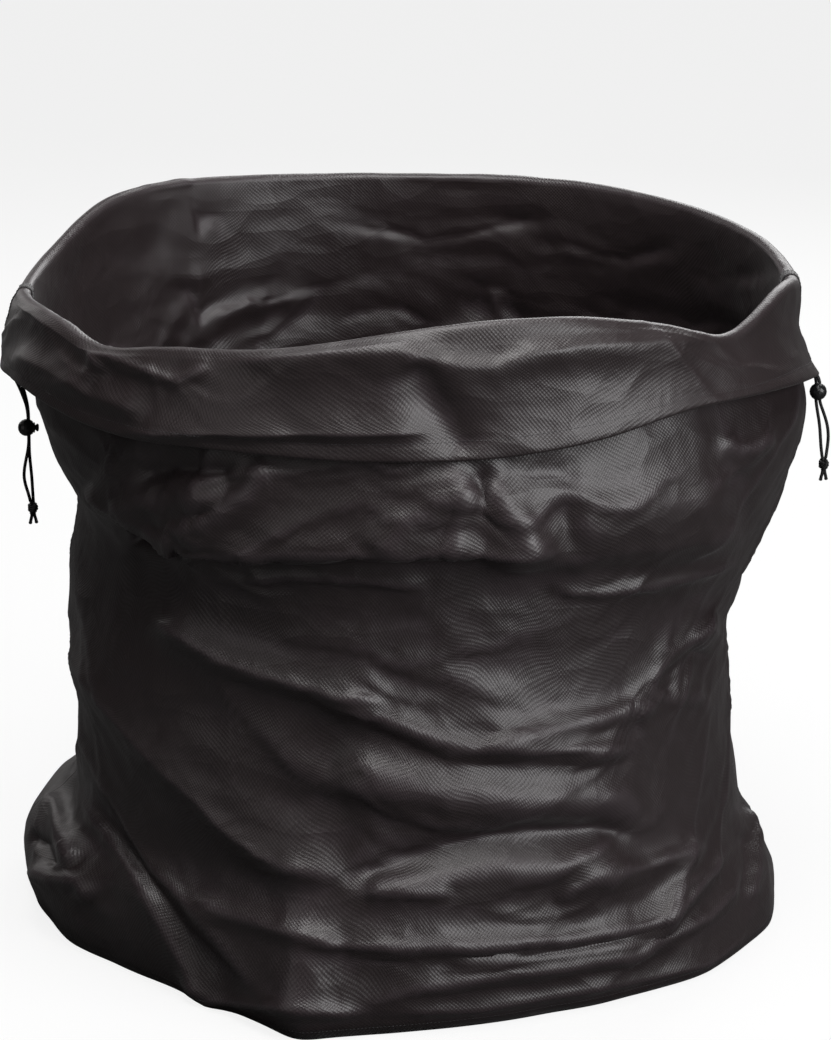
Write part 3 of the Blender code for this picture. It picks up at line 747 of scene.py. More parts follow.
def splitRows(grid, perGap):
    # more places along each column, on the smooth line through the ones there are
    before, after = 2 * grid[:, :1] - grid[:, 1:2], 2 * grid[:, -1:] - grid[:, -2:-1]
    padded = np.concatenate([before, grid, after], 1)
    near = [padded[:, step:step + grid.shape[1] - 1] for step in range(4)]
    full = np.empty((grid.shape[0], perGap * (grid.shape[1] - 1) + 1, 3))
    for step in range(perGap):
        full[:, step:-1:perGap] = between(*near, step / perGap)
    full[:, -1] = grid[:, -1]
    return full


def gridNormals(grid):
    around = np.roll(grid, -1, 0) - np.roll(grid, 1, 0)
    return unit(np.cross(around, np.gradient(grid, axis=1)))


def awayFromSack(grid, parts):
    # the way out of the sack: the cloth's other side shows on the cuff
    away = gridNormals(grid)
    away[:, parts["wall"].stop:] *= -1
    return away


def lengthUp(grid):
    # how far up its column each place is, along the cloth
    return np.linalg.norm(np.diff(grid, axis=1, prepend=grid[:, :1]), axis=2).cumsum(1)


# Folds, as lines on the photograph in its pixels, left to right: millimetres of lift, reach above
# and below the line in pixels, 1 for a crease to 2 for a soft roll, millimetres of droop, the line
folds = {
    "wall": (
        (15, 62, 5, 0.95, 5, (150, 538), (193, 552), (276, 554), (350, 554), (424, 554), (493, 554),
            (560, 553)),
        (9, 55, 20, 1.5, 2, (480, 556), (572, 554), (625, 546), (690, 539), (742, 532)),
        (5, 12, 4, 0.95, 1, (545, 592), (600, 594), (650, 586), (700, 573), (738, 560)),
        (4, 12, 4, 0.95, 1, (236, 582), (290, 577), (350, 580), (430, 590)),
        (9, 34, 5, 0.95, 3, (86, 492), (105, 503), (129, 516), (160, 536), (193, 552)),
        (-20, 8, 9, 2, 0, (134, 521), (163, 531), (192, 538)),
        (5, 10, 18, 1.3, 0, (187, 523), (219, 512), (251, 491), (265, 475), (266, 458)),
        (-3, 11, 11, 2, 0, (140, 470), (180, 466), (215, 468), (246, 468)),
        (3.5, 13, 12, 1.6, 0, (120, 500), (160, 498), (205, 494), (236, 484)),
        (4, 14, 7, 1.1, 0, (486, 476), (504, 502), (520, 526), (534, 548)),
        (2.5, 8, 6, 1.1, 0, (466, 480), (456, 504), (450, 530), (446, 550)),
        (-1.6, 6, 7, 1.4, 0, (475, 464), (478, 476), (482, 490)),
        (5, 22, 16, 1.6, 0, (380, 545), (400, 522), (440, 495), (474, 478)),
        (-2, 12, 12, 1.6, 0, (492, 470), (530, 470), (580, 476)),
        (4, 18, 26, 2, 0, (560, 520), (640, 500), (700, 495), (740, 500)),
        (4, 10, 10, 1.15, 0, (716, 440), (735, 452), (752, 447), (772, 436)),
        (9, 22, 11, 0.95, 1, (150, 622), (182, 637), (222, 662), (260, 676), (297, 688), (340, 698),
            (392, 704)),
        (9, 26, 9, 0.95, 2, (310, 700), (350, 711), (381, 721), (420, 737), (450, 748), (477, 752),
            (556, 752), (646, 757)),
        (5, 8, 10, 0.95, 0, (474, 748), (510, 739), (560, 726), (625, 710), (655, 702)),
        (9, 30, 26, 1.7, 0, (330, 768), (397, 787), (477, 798), (560, 804), (650, 802)),
        (10, 34, 13, 0.95, 1, (64, 640), (101, 692), (132, 731), (175, 778), (207, 806), (232, 835),
            (262, 858), (290, 873), (345, 882)),
        (6, 14, 10, 1.05, 0, (84, 700), (90, 745), (122, 809), (159, 872), (212, 931), (270, 1002)),
        (6, 12, 12, 1.05, 0, (80, 790), (117, 846), (159, 915), (201, 985), (236, 1008)),
        (-4, 10, 10, 1.6, 0, (100, 780), (140, 850), (190, 930), (248, 988)),
        (7, 34, 9, 1.05, 1, (716, 616), (690, 636), (664, 654), (651, 672), (645, 688), (641, 706)),
        (-4, 9, 16, 1.6, 0, (700, 642), (678, 655), (664, 672), (658, 696)),
        (3, 20, 22, 1.2, 0, (628, 716), (655, 708), (680, 702), (703, 690)),
        (-7, 14, 18, 1.6, 0, (340, 880), (397, 858), (477, 836), (530, 827), (599, 825),
            (645, 838)),
        (6, 22, 18, 1.6, 0, (345, 890), (413, 882), (503, 869), (583, 869), (645, 862)),
        (4, 7, 5, 0.95, 0, (365, 893), (400, 891), (450, 892)),
        (6, 14, 10, 1.05, 0, (195, 900), (232, 917), (276, 931), (345, 951)),
        (9, 32, 5, 0.95, 2, (310, 950), (397, 952), (477, 948), (556, 944), (636, 931), (662, 924),
            (689, 894), (736, 844)),
        (4, 6, 12, 1.15, 0, (440, 961), (520, 957), (600, 948), (650, 938)),
        (6, 16, 6, 0.95, 1, (360, 1006), (424, 989), (530, 973), (636, 955), (705, 920), (730, 896),
            (744, 856)),
        (4, 8, 5, 0.95, 1, (366, 1014), (477, 1010), (625, 984), (705, 966), (764, 924)),
        (6, 10, 6, 0.95, 1, (175, 972), (212, 1000), (297, 1013), (371, 1015)),
        (5, 8, 14, 1.15, 0, (546, 899), (583, 878), (636, 867), (700, 844)),
        (3, 7, 7, 1.05, 0, (655, 926), (668, 894), (690, 872)),
        (7, 10, 10, 1.05, 0, (40, 792), (58, 812), (64, 845), (78, 870)),
        (-6, 8, 8, 1.6, 0, (30, 830), (48, 842), (56, 868)),
        (6, 10, 9, 1.05, 0, (26, 872), (52, 880), (82, 884), (92, 905)),
        (4, 9, 9, 1.15, 0, (742, 806), (752, 832), (756, 870), (748, 905)),
        (-2, 7, 7, 1.6, 0, (738, 830), (745, 862), (736, 900)),
    ),
    "cuff": (
        (6, 14, 24, 1.5, 0, (230, 362), (330, 357), (403, 354), (440, 366), (466, 370), (498, 370),
            (530, 357), (583, 350), (650, 346), (716, 343)),
        (5, 12, 12, 1.05, 0, (18, 300), (48, 318), (74, 334), (100, 366), (112, 376)),
        (-5, 20, 24, 1.7, 0, (412, 356), (430, 395), (452, 430), (474, 458)),
        (5, 46, 3, 0.95, 1, (112, 437), (170, 438), (250, 438), (350, 438), (436, 437)),
        (4, 9, 9, 1.15, 0, (93, 350), (130, 366), (180, 384), (216, 364)),
        (4, 16, 12, 1.5, 0, (6, 352), (50, 372), (92, 398), (150, 415)),
    ),
}
foldValues = {
    "scale": 1.9, "backScale": 0.62, "backShift": (-34.0, 12.0), "edgeFade": (0.0, 0.16),
    "seamFade": (-0.02, 0.045), "endFade": (-0.02, 0.16),
    "sink": 0.27,            # pixels that a lifted place shows lower, for each millimetre
}


def lineField(across, down, points):
    # distance to a line, which side of it, and how far along it, for every place
    near = np.full(across.shape, 1e9)
    below = np.zeros(across.shape, bool)
    along = np.zeros(across.shape)
    line = np.array(points, float)
    gaps = np.hypot(*np.diff(line, axis=0).T)
    begun = np.concatenate([[0.0], np.cumsum(gaps)])
    for (ax, ay), (bx, by), gap, start in zip(line, line[1:], gaps, begun):
        wx, wy = bx - ax, by - ay
        part = np.clip(((across - ax) * wx + (down - ay) * wy) / gap ** 2, 0.0, 1.0)
        ox, oy = across - ax - part * wx, down - ay - part * wy
        distance = np.hypot(ox, oy)
        closer = distance < near
        near = np.where(closer, distance, near)
        below = np.where(closer, wx * oy - wy * ox > 0, below)
        along = np.where(closer, (start + part * gap) / begun[-1], along)
    return near, below, along


floorValues = {"near": 0.008, "clear": 0.0010, "rise": 0.25, "most": 0.007}


def aboveFloor(grid, values):
    # the sewn foot stays where it is, and nothing sinks into the floor
    low = grid[:, :, 2] < values["near"]
    low[:, grid.shape[1] // 3:] = False
    least = values["clear"] + np.minimum(values["rise"] * lengthUp(grid), values["most"])
    grid[..., 2] = np.where(low, np.maximum(grid[..., 2], least), grid[..., 2])
    return grid


def foldSurface(grid, parts, share, values):
    # lifts the folds out of the smooth sack, in front as photographed and behind as their like
    normals = awayFromSack(grid, parts)
    lift, droop = np.zeros((2, *grid.shape[:2]))
    for isBack in (False, True):
        flip = np.array([1.0, -1.0 if isBack else 1.0, 1.0])
        seen = grid * flip
        look = unit(np.array(cameraValues["place"]) - seen)
        facing = smoothStep((normals * flip * look).sum(2), *values["edgeFade"])
        facing *= smoothStep(-seen[..., 1], *values["seamFade"])
        across, down = toPicture(seen, cameraValues)
        scale = share * values["scale"]
        if isBack:
            scale *= values["backScale"]
            across = across + values["backShift"][0]
            down = down + values["backShift"][1]
        for where, lines in folds.items():
            places = parts[where]
            for high, above, under, power, fall, *points in lines:
                lower = down[:, places] + (values["sink"] * high + fall) * scale
                near, below, along = lineField(across[:, places], lower, points)
                shape = np.exp(-(near / np.where(below, under, above)) ** power)
                shape *= smoothStep(np.minimum(along, 1 - along), *values["endFade"])
                shape *= facing[:, places] * scale
                lift[:, places] += 0.001 * high * shape
                droop[:, places] += 0.001 * fall * shape
    moved = grid + normals * lift[..., None]
    moved[..., 2] -= droop
    return aboveFloor(moved, floorValues)


# where the cloth is sewn and has to stay put: metres over which it comes free, and the least
# that small creases keep at the hem and the crest
calmValues = {
    "foot": (0, 0.040), "hem": (0.004, 0.032), "crest": (0.010, 0.050), "least": 0.35,
    "seam": (0.03, 0.10), "seamEnd": (0.014, 0.050),
}


def calmEnds(grid, parts, values):
    # 0 where the cloth is sewn, 1 elsewhere
    begun = lengthUp(grid)
    left = begun[:, -1:] - begun
    crest = np.abs(begun - begun[:, parts["wall"].stop + 1][:, None])
    least = values["least"]
    calm = smoothStep(begun, *values["foot"])
    calm = calm * (least + (1 - least) * smoothStep(left, *values["hem"]))
    calm *= least + (1 - least) * smoothStep(crest, *values["crest"])
    seam = smoothStep(np.abs(np.sin(ringAngles(len(grid)))), *values["seam"])[:, None]
    return calm * (1 - (1 - seam) * (1 - smoothStep(left, *values["seamEnd"])))


creaseValues = {
    "seed": 11, "count": 260, "lift": (0.0008, 0.0046), "length": (0.05, 0.22),
    "above": (0.007, 0.024), "below": (0.003, 0.006), "radius": 0.36, "heights": (0.01, 0.77),
    "rise": 16, "mostRise": 20, "bow": 0.12, "power": 1.2, "fade": (0.0, 0.7),
    "liftShape": (1.4, 3.0), "blend": 0.002,      # most are low; how softly their ways change
}
# the way small creases run, by place on the front: across and up in metres, then degrees of rise
creaseWays = (
    (-0.3, 0.5, -20), (-0.1, 0.5, 5), (0.12, 0.5, -35), (0.3, 0.5, 20), (-0.3, 0.35, -40),
    (0.0, 0.36, -12), (0.28, 0.36, 40), (-0.28, 0.22, -52), (-0.1, 0.26, -25), (0.12, 0.24, 8),
    (0.28, 0.24, 55), (-0.25, 0.1, -50), (-0.05, 0.12, -15), (0.15, 0.12, 12), (0.28, 0.1, 38),
    (0.0, 0.03, 5), (-0.2, 0.62, -8), (0.1, 0.62, 6), (0.3, 0.6, 25),
)


def creaseSurface(grid, parts, values):
    # many small sharp creases, drawn at random once, that follow the large folds
    draw = np.random.default_rng(values["seed"])
    radius = values["radius"]
    whole = 2 * np.pi * radius
    across = (ringAngles(len(grid)) * radius)[:, None] * np.ones((1, grid.shape[1]))
    high = lengthUp(grid)
    ways = np.array(creaseWays, float)
    least, most = values["lift"]
    lift = np.zeros(grid.shape[:2])
    for _ in range(values["count"]):
        middle, height = draw.uniform(0, whole), draw.uniform(*values["heights"])
        length = draw.uniform(*values["length"])
        rise = draw.normal(0, values["rise"])
        rise = min(max(rise, -values["mostRise"]), values["mostRise"])
        tall = least + (most - least) * draw.beta(*values["liftShape"])
        above, below = draw.uniform(*values["above"]), draw.uniform(*values["below"])
        bow = draw.normal(0, values["bow"])
        turn = middle / radius
        flat = radius * math.cos(turn)
        near = (ways[:, 0] - flat) ** 2 + (ways[:, 1] - height) ** 2
        near = 1 / (near + values["blend"])
        way = math.radians((near * ways[:, 2]).sum() / near.sum() + rise)
        if math.sin(turn) > 0:
            way = -way
        x = (across - middle + whole / 2) % whole - whole / 2
        y = high - height
        along = x * math.cos(way) + y * math.sin(way)
        off = y * math.cos(way) - x * math.sin(way) - bow * along ** 2 / length * 2
        inside = (np.abs(along) < length) & (np.abs(off) < 3 * above)
        along, off = along[inside], off[inside]
        shape = np.exp(-(np.abs(off) / np.where(off > 0, above, below)) ** values["power"])
        shape *= smoothStep(1 - np.abs(along) / length, *values["fade"])
        lift[inside] += tall * shape
    calm = calmEnds(grid, parts, calmValues)
    return grid + awayFromSack(grid, parts) * (lift * calm)[..., None]


wrinkleValues = {      # height of the wrinkles, their size round and along the sack, and a seed
    "waves": (
        (0.0014, 0.130, 0.060, 3.1), (0.0006, 0.060, 0.030, 7.7), (0.0002, 0.030, 0.017, 12.3),
    ),
    "slant": 0.35, "ridge": 2.2,
}


def wrinkleSurface(grid, parts, values):
    # small natural unevenness with soft ridges
    lift = np.zeros(grid.shape[:2])
    slant = values["slant"]
    for height, wide, tall, seed in values["waves"]:
        found = np.array([
            noise.noise((x / wide + seed, y / wide - seed, z / tall + slant * x / tall))
            for x, y, z in grid.reshape(-1, 3)
        ]).reshape(lift.shape)
        lift += height * (1 - values["ridge"] * np.abs(found))
    calm = calmEnds(grid, parts, calmValues)
    return grid + gridNormals(grid) * (lift * calm)[..., None]


settleValues = {
    "frames": 24, "quality": 6, "longer": 0.036, "wider": 0.018, "gravity": 0.06, "mass": 0.05,
    "stretch": 18.0, "bend": 0.35,
    "wallPull": 0.30, "cuffPull": 0.62,      # how firmly the cloth keeps its place
    "footFree": 0.5, "crestFree": 0.12, "hemFree": 0.3,     # how fast that eases, by the row
}


def settleCloth(grid, parts, values):
    # a little more cloth than the shape needs, left to buckle; it moves less than a millimetre
    count, rows = grid.shape[:2]
    wrapped = wrap(grid)
    mesh = gridMesh("clothTrial", wrapped, np.zeros((*wrapped.shape[:2], 2)))
    trial = meshObject("clothTrial", mesh, clothMaterial)
    with opened(mesh) as shell:
        starts = range(0, rows * (count + 1), count + 1)
        ends = {shell.verts[start + count]: shell.verts[start] for start in starts}
        bmesh.ops.weld_verts(shell, targetmap=ends)
    trial.shape_key_add(name="Basis")
    longer = trial.shape_key_add(name="longer")
    wider = 1 + values["wider"]
    grown = grid.transpose(1, 0, 2).reshape(-1, 3) * (wider, wider, 1 + values["longer"])
    longer.data.foreach_set("co", grown.astype(np.float32).ravel())
    row = np.arange(rows)
    crest = parts["wall"].stop
    pull = np.where(row < crest, values["wallPull"], values["cuffPull"])
    pull = np.maximum(pull, 1 - values["footFree"] * row)
    for free, away in (("crestFree", np.abs(row - crest - 1)), ("hemFree", rows - 1 - row)):
        pull = np.maximum(pull, np.clip(1 - values[free] * away, 0, 1))
    group = trial.vertex_groups.new(name="pull")
    for index, weight in enumerate(pull):
        group.add(list(range(index * count, (index + 1) * count)), float(weight), "REPLACE")
    cloth = trial.modifiers.new("settle", "CLOTH")
    settings = cloth.settings
    settings.vertex_group_mass = "pull"
    settings.rest_shape_key = longer
    settings.mass = values["mass"]
    settings.quality = values["quality"]
    settings.tension_stiffness = settings.compression_stiffness = values["stretch"]
    settings.shear_stiffness = values["stretch"] / 3
    settings.bending_stiffness = values["bend"]
    settings.effector_weights.gravity = values["gravity"]
    cloth.collision_settings.use_collision = False
    cloth.point_cache.frame_start = 1
    cloth.point_cache.frame_end = values["frames"]
    for step in range(1, values["frames"] + 1):
        scene.frame_set(step)
    settled = trial.evaluated_get(bpy.context.evaluated_depsgraph_get()).to_mesh()
    found = np.empty(len(settled.vertices) * 3, np.float32)
    settled.vertices.foreach_get("co", found)
    scene.frame_set(1)
    bpy.data.objects.remove(trial)
    bpy.data.meshes.remove(mesh)
    result = found.reshape(rows, count, 3).transpose(1, 0, 2).astype(float)
    moved = np.linalg.norm(result - grid, axis=2)
    print(f"cloth settled, moved by {moved.mean():.4f}, at most {moved.max():.4f}")
    return result


rowValues = {
    "perGap": 5, "reach": 9, "columnReach": 5, "evenReach": (3, 2), "pull": 2.4, "even": 0.35,
    "tunnelRows": 4,
}


def softened(values, reach, axis):
    # a running mean, wrapped round the sack or held at the ends
    pad = [(0, 0), (0, 0)]
    pad[axis] = (reach, reach)
    padded = np.pad(values, pad, mode="wrap" if axis == 0 else "edge")
    total = np.moveaxis(np.cumsum(padded, axis=axis), axis, 0)
    width = 2 * reach
    before = np.concatenate([total[:1] * 0, total[:-width - 1]])
    return np.moveaxis((total[width:] - before) / (width + 1), 0, axis)


def gatherRows(dense, first, last, count, values):
    # picks rows so that they lie close together where the cloth bends
    part = dense[:, first:last + 1]
    bend = np.zeros(part.shape[:2])
    bend[:, 1:-1] = np.linalg.norm(part[:, 2:] - 2 * part[:, 1:-1] + part[:, :-2], axis=2)
    bend = softened(softened(bend, values["reach"], 1), values["columnReach"], 0)
    weight = values["even"] + np.minimum(bend / bend.mean(), values["pull"])
    weight = softened(weight, values["reach"], 1)
    steps = (weight[:, 1:] + weight[:, :-1]) / 2
    begun = np.concatenate([weight[:, :1] * 0, steps.cumsum(1)], 1)
    rows = np.arange(part.shape[1])
    at = np.array([
        np.interp(np.linspace(0, total[-1], count), total, rows) for total in begun
    ])
    for reach in values["evenReach"]:
        at = softened(at, reach, 0)
    low = np.clip(at.astype(int), 0, part.shape[1] - 2)
    share = (at - low)[..., None]
    column = np.arange(part.shape[0])[:, None]
    return part[column, low] * (1 - share) + part[column, low + 1] * share


def makeSack(values):
    # the whole sack's cloth as [column, row] places
    smooth = sackGrid(values)
    wallRows = values["wallRows"]
    coarse = {"wall": slice(0, wallRows), "cuff": slice(wallRows + 2, smooth.shape[1])}
    early = values["earlyFolds"]
    lifted = foldSurface(smooth, coarse, early, foldValues)
    smooth = settleCloth(lifted, coarse, settleValues)
    perGap = rowValues["perGap"]
    dense = splitRows(splitRows(splitColumns(smooth), 2), perGap)
    wallEnd = (wallRows - 1) * 2 * perGap
    cuffStart = wallEnd + values["crestRows"] * 2 * perGap
    parts = {"wall": slice(0, wallEnd + 1), "cuff": slice(cuffStart, dense.shape[1])}
    dense = foldSurface(dense, parts, 1 - early, foldValues)
    dense = creaseSurface(dense, parts, creaseValues)
    stitch = dense.shape[1] - 1 - rowValues["tunnelRows"] * perGap
    wallCount = 2 * wallRows - 1
    cuffCount = 2 * values["cuffRows"] + 1 - rowValues["tunnelRows"]
    wall = gatherRows(dense, 0, wallEnd, wallCount, rowValues)
    crest = dense[:, wallEnd + perGap:cuffStart:perGap]
    cuff = gatherRows(dense, cuffStart, stitch, cuffCount, rowValues)
    hem = dense[:, stitch + perGap::perGap]
    grid = np.concatenate([wall, crest, cuff, hem], 1)
    parts = {"wall": slice(0, wallCount), "cuff": slice(wallCount + crest.shape[1], grid.shape[1])}
    print("sack shaped,", grid.shape[0], "columns and", grid.shape[1], "rows")
    return aboveFloor(wrinkleSurface(grid, parts, wrinkleValues), floorValues)


def stitchRow(grid):
    return grid.shape[1] - 1 - len(hemValues["layerGap"])


def puckerStitchLine(grid, values):
    # the two layers are drawn together where they are sewn
    row = stitchRow(grid)
    wave = np.sin(np.arange(grid.shape[0]) * 2 * np.pi / values["puckerColumns"])
    away = -gridNormals(grid)[:, row]
    grid[:, row] += away * (-values["tuck"] + values["pucker"] * wave)[:, None]
    return grid


def hemRows(grid, values):
    # the cloth's way round the drawcord and up again behind its own edge
    away = level(-gridNormals(grid)[:, -1])
    centre = grid[:, -1] - away * values["roll"]
    down = np.array([0.0, 0.0, -1.0])
    turns = np.pi * np.arange(1, values["turns"] + 1) / values["turns"]
    rows = [centre + values["roll"] * (away * math.cos(t) + down * math.sin(t)) for t in turns]
    for back, gap in enumerate(values["layerGap"], 1):
        rows.append(grid[:, -1 - back] - away * gap)
    return centre, np.stack(rows, 1)


def sheetUvs(grid):
    # metres along the cloth, so that the weave keeps its size where it folds
    steps = np.linalg.norm(np.diff(grid[:, grid.shape[1] // 2], axis=0), axis=1)
    u = np.arange(grid.shape[0]) * np.median(steps)
    v = lengthUp(grid)
    return np.stack([np.broadcast_to(u[:, None], v.shape), v], -1)


def addThickness(piece, thickness):
    solidify = piece.modifiers.new("thickness", "SOLIDIFY")
    solidify.thickness = thickness
    solidify.offset = 0.0


wearValues = {"reach": 2, "gain": 250, "least": 0.25, "most": 0.5}


def foldWear(grid, values):
    # how far each place stands out from those round it, for the rubbed look of folds
    normals = gridNormals(grid)
    reach, gain = values["reach"], values["gain"]
    near = (np.roll(grid, reach, 0) + np.roll(grid, -reach, 0)) / 2
    bulge = ((grid - near) * normals).sum(2)
    inner = slice(reach, -reach)
    near = (grid[:, 2 * reach:] + grid[:, :-2 * reach]) / 2
    up = np.zeros_like(bulge)
    up[:, inner] = ((grid[:, inner] - near) * normals[:, inner]).sum(2)
    wear = np.abs(bulge) * gain + np.abs(up) * gain - values["least"]
    return np.clip(wear, 0.0, values["most"])


def makeWalls(grid, hem, values):
    half = grid.shape[0] // 2
    whole = wrap(np.concatenate([grid, hem], 1))
    wear = wrap(np.concatenate([foldWear(grid, wearValues), np.zeros(hem.shape[:2])], 1))
    uvs = sheetUvs(whole)
    high = softened(uvs[:-1, :, 1], values["weaveReach"], 0)     # no jump beside a deep fold
    uvs = np.stack([uvs[..., 0], wrap(high)], -1)
    mouth = hemValues["mouthColumns"]
    leftOut = np.zeros((half, whole.shape[1] - 1), bool)
    leftOut[:mouth, stitchRow(grid):] = True
    leftOut[-mouth:, stitchRow(grid):] = True
    for name, node, first in (("backWall", "back_panel", 0), ("frontWall", "front_panel", half)):
        columns = slice(first, first + half + 1)
        places = whole[columns].copy()
        for edge, inner in ((0, 1), (-1, -2)):
            places[edge] += unit(places[inner] - places[edge]) * values["seamGap"]
        mesh = gridMesh(name, places, uvs[columns])
        layer = mesh.attributes.new("wear", "FLOAT", "POINT")
        layer.data.foreach_set("value", wear[columns].T.astype(np.float32).ravel())
        with opened(mesh) as shell:
            faces = [shell.faces[index] for index in np.flatnonzero(leftOut.T)]
            bmesh.ops.delete(shell, geom=faces, context="FACES")
        wall = addPiece(name, mesh, clothMaterial, node)
        addThickness(wall, values["thickness"])


def makeDrawcords(centre, values):
    # the cord that the hem holds, from one tunnel mouth to the other
    half = len(centre) // 2
    edge = values["cordColumns"]
    for name, node, first, ends, side in (
        ("backDrawcord", "back_drawcord", 0, ("right", "left"), 1),
        ("frontDrawcord", "front_drawcord", half, ("left", "right"), -1),
    ):
        path = wrap(centre)[first + edge:first + half + 1 - edge]
        first, last = (np.array(values["mouths"][end]) * (1, side, 1) for end in ends)
        path = np.concatenate([[first], path, [last]])
        mesh = tubeMesh(name, path, values["cordRadius"], values["cordSides"])
        addPiece(name, mesh, cordMaterial, node)


sheetValues = {
    "thickness": 0.0008, "lowRows": 24, "footRows": 30,      # rows to look for the foot in
    "tapeColumns": 2, "tapeGap": 0.00115, "tapeFoot": 0.0183,
    "baseTapeHeights": (0.0016, 0.005, 0.009, 0.0125, 0.0155, 0.018), "baseTapeGap": 0.0022,
    "marginHeights": (0.0030, 0.0060, 0.0090, 0.012), "marginGap": 0.0011, "marginWeave": 0.03,
    "floorHeight": 0.0006, "floorRings": 26, "ringPower": 0.75, "floorWave": 0.0030,
    "waveScale": 7, "waveFade": (0.02, 0.2),
}
tapeMaterial = makeClothMaterial("seamTape", tapeLook)


def wallAtHeight(grid, heights):
    # places on the wall's lower rows at these heights, for every column
    found = np.empty((grid.shape[0], len(heights), 3))
    for column, places in enumerate(grid[:, :sheetValues["lowRows"]]):
        rising = np.maximum.accumulate(places[:, 2])
        for axis in range(2):
            found[column, :, axis] = np.interp(heights, rising, places[:, axis])
    found[..., 2] = heights
    return found


def movedIn(places, distance):
    # level, towards the sack's middle
    return places - level(gridNormals(places)) * distance


def addSheet(name, mesh, node, material):
    addThickness(addPiece(name, mesh, material, node), sheetValues["thickness"])


def makeBase(grid, values):
    margin = movedIn(wallAtHeight(grid, values["marginHeights"]), values["marginGap"])
    corner = margin[:, :1].copy()
    corner[..., 2] = values["floorHeight"]
    shares = np.linspace(0.0, 1.0, values["floorRings"]) ** values["ringPower"]
    floor = corner * shares[None, :, None]
    scale = values["waveScale"]
    wave = np.array([
        [noise.noise((x * scale, y * scale, 2.0)) for x, y, z in column] for column in floor
    ])
    calm = smoothStep(1 - shares, *values["waveFade"])
    floor[..., 2] = values["floorHeight"] + values["floorWave"] * np.clip(wave, 0, 1) * calm
    wrapped = wrap(np.concatenate([floor, margin], 1))
    uvs = wrapped[..., :2].copy()
    rows = margin.shape[1]
    uvs[:, -rows:] *= (1 + values["marginWeave"] * np.arange(1, rows + 1))[None, :, None]
    mesh = gridMesh("basePanel", wrapped, uvs, wrapped=True)
    addSheet("basePanel", mesh, "base_panel", clothMaterial)


def makeBaseTape(grid, values):
    places = wallAtHeight(grid, values["baseTapeHeights"])
    wrapped = wrap(movedIn(places, values["baseTapeGap"]))
    mesh = gridMesh("baseSeamTape", wrapped, sheetUvs(wrapped), wrapped=True)
    addSheet("baseSeamTape", mesh, "base_seam_tape", tapeMaterial)


def tapeFoot(grid, seam):
    heights = grid[seam, :sheetValues["footRows"], 2]
    return int(np.searchsorted(heights, sheetValues["tapeFoot"])) + 1


def makeSideTapes(grid, values):
    normals = gridNormals(grid)
    count, reach = grid.shape[0], values["tapeColumns"]
    for name, node, seam in (
        ("rightSeamTape", "right_seam_tape", 0), ("leftSeamTape", "left_seam_tape", count // 2)
    ):
        columns = [(seam + step) % count for step in range(-reach, reach + 1)]
        rows = slice(tapeFoot(grid, seam), stitchRow(grid) + 1)
        places = grid[columns, rows] - normals[columns, rows] * values["tapeGap"]
        addSheet(name, gridMesh(name, places, sheetUvs(places)), node, tapeMaterial)


stitchValues = {
    "pitch": 0.0036, "length": 0.0026, "radius": 0.00030, "proud": 0.00045, "sides": 6, "rings": 4,
    "colour": (0.012, 0.012, 0.013, 1.0), "light": (0.045, 0.044, 0.046, 1.0),
    "fibre": (1500.0, 2.0), "fibreDepth": 0.0001, "roughness": 0.6,
    "baseHeights": (0.0085, 0.0095),
}


def makeThreadMaterial(values):
    material, tree, shader = newMaterial("sewingThread")
    fibre = cloudy(tree, onPiece(tree), *values["fibre"])[0]
    feed(tree, shader, {
        "Base Color": mixTones(tree, fibre, values["colour"], values["light"]),
        "Normal": bump(tree, fibre, values["fibreDepth"]), "Roughness": values["roughness"],
    })
    return material


def evenPlaces(path, outs, pitch):
    # middles, directions and outward ways at even distances along a path
    begun = distances(path)
    count = int(begun[-1] / pitch)
    at = (np.arange(count) + 0.5) * begun[-1] / count

    def read(table, shift=0.0):
        return np.stack([np.interp(at + shift, begun, table[:, axis]) for axis in range(3)], -1)

    ways = unit(read(path, 0.001) - read(path, -0.001))
    outward = read(outs)
    outward -= ways * (outward * ways).sum(1, keepdims=True)
    return read(path), ways, unit(outward)


def makeStitches(name, seams, thread, values):
    # one small spindle for each stitch, all in one mesh
    spindle = bpy.data.meshes.new(name + "One")
    with opened(spindle) as shell:
        bmesh.ops.create_uvsphere(
            shell, u_segments=values["sides"], v_segments=values["rings"], radius=1.0)
    shape = np.array([tuple(vertex.co) for vertex in spindle.vertices])
    mesh = bpy.data.meshes.new(name)
    places = []
    with opened(mesh) as shell:
        for path, outs in seams:
            middles, ways, outward = evenPlaces(path, outs, values["pitch"])
            for middle, way, out, side in zip(middles, ways, outward, np.cross(outward, ways)):
                shell.from_mesh(spindle)
                ring = values["radius"] * (shape[:, :1] * side + shape[:, 1:2] * out)
                long = values["length"] / 2 * shape[:, 2:] * way
                places.append(middle + out * values["proud"] + ring + long)
    bpy.data.meshes.remove(spindle)
    mesh.vertices.foreach_set("co", np.concatenate(places).astype(np.float32).ravel())
    mesh.shade_smooth()
    mesh.update()
    addPiece(name, mesh, thread)


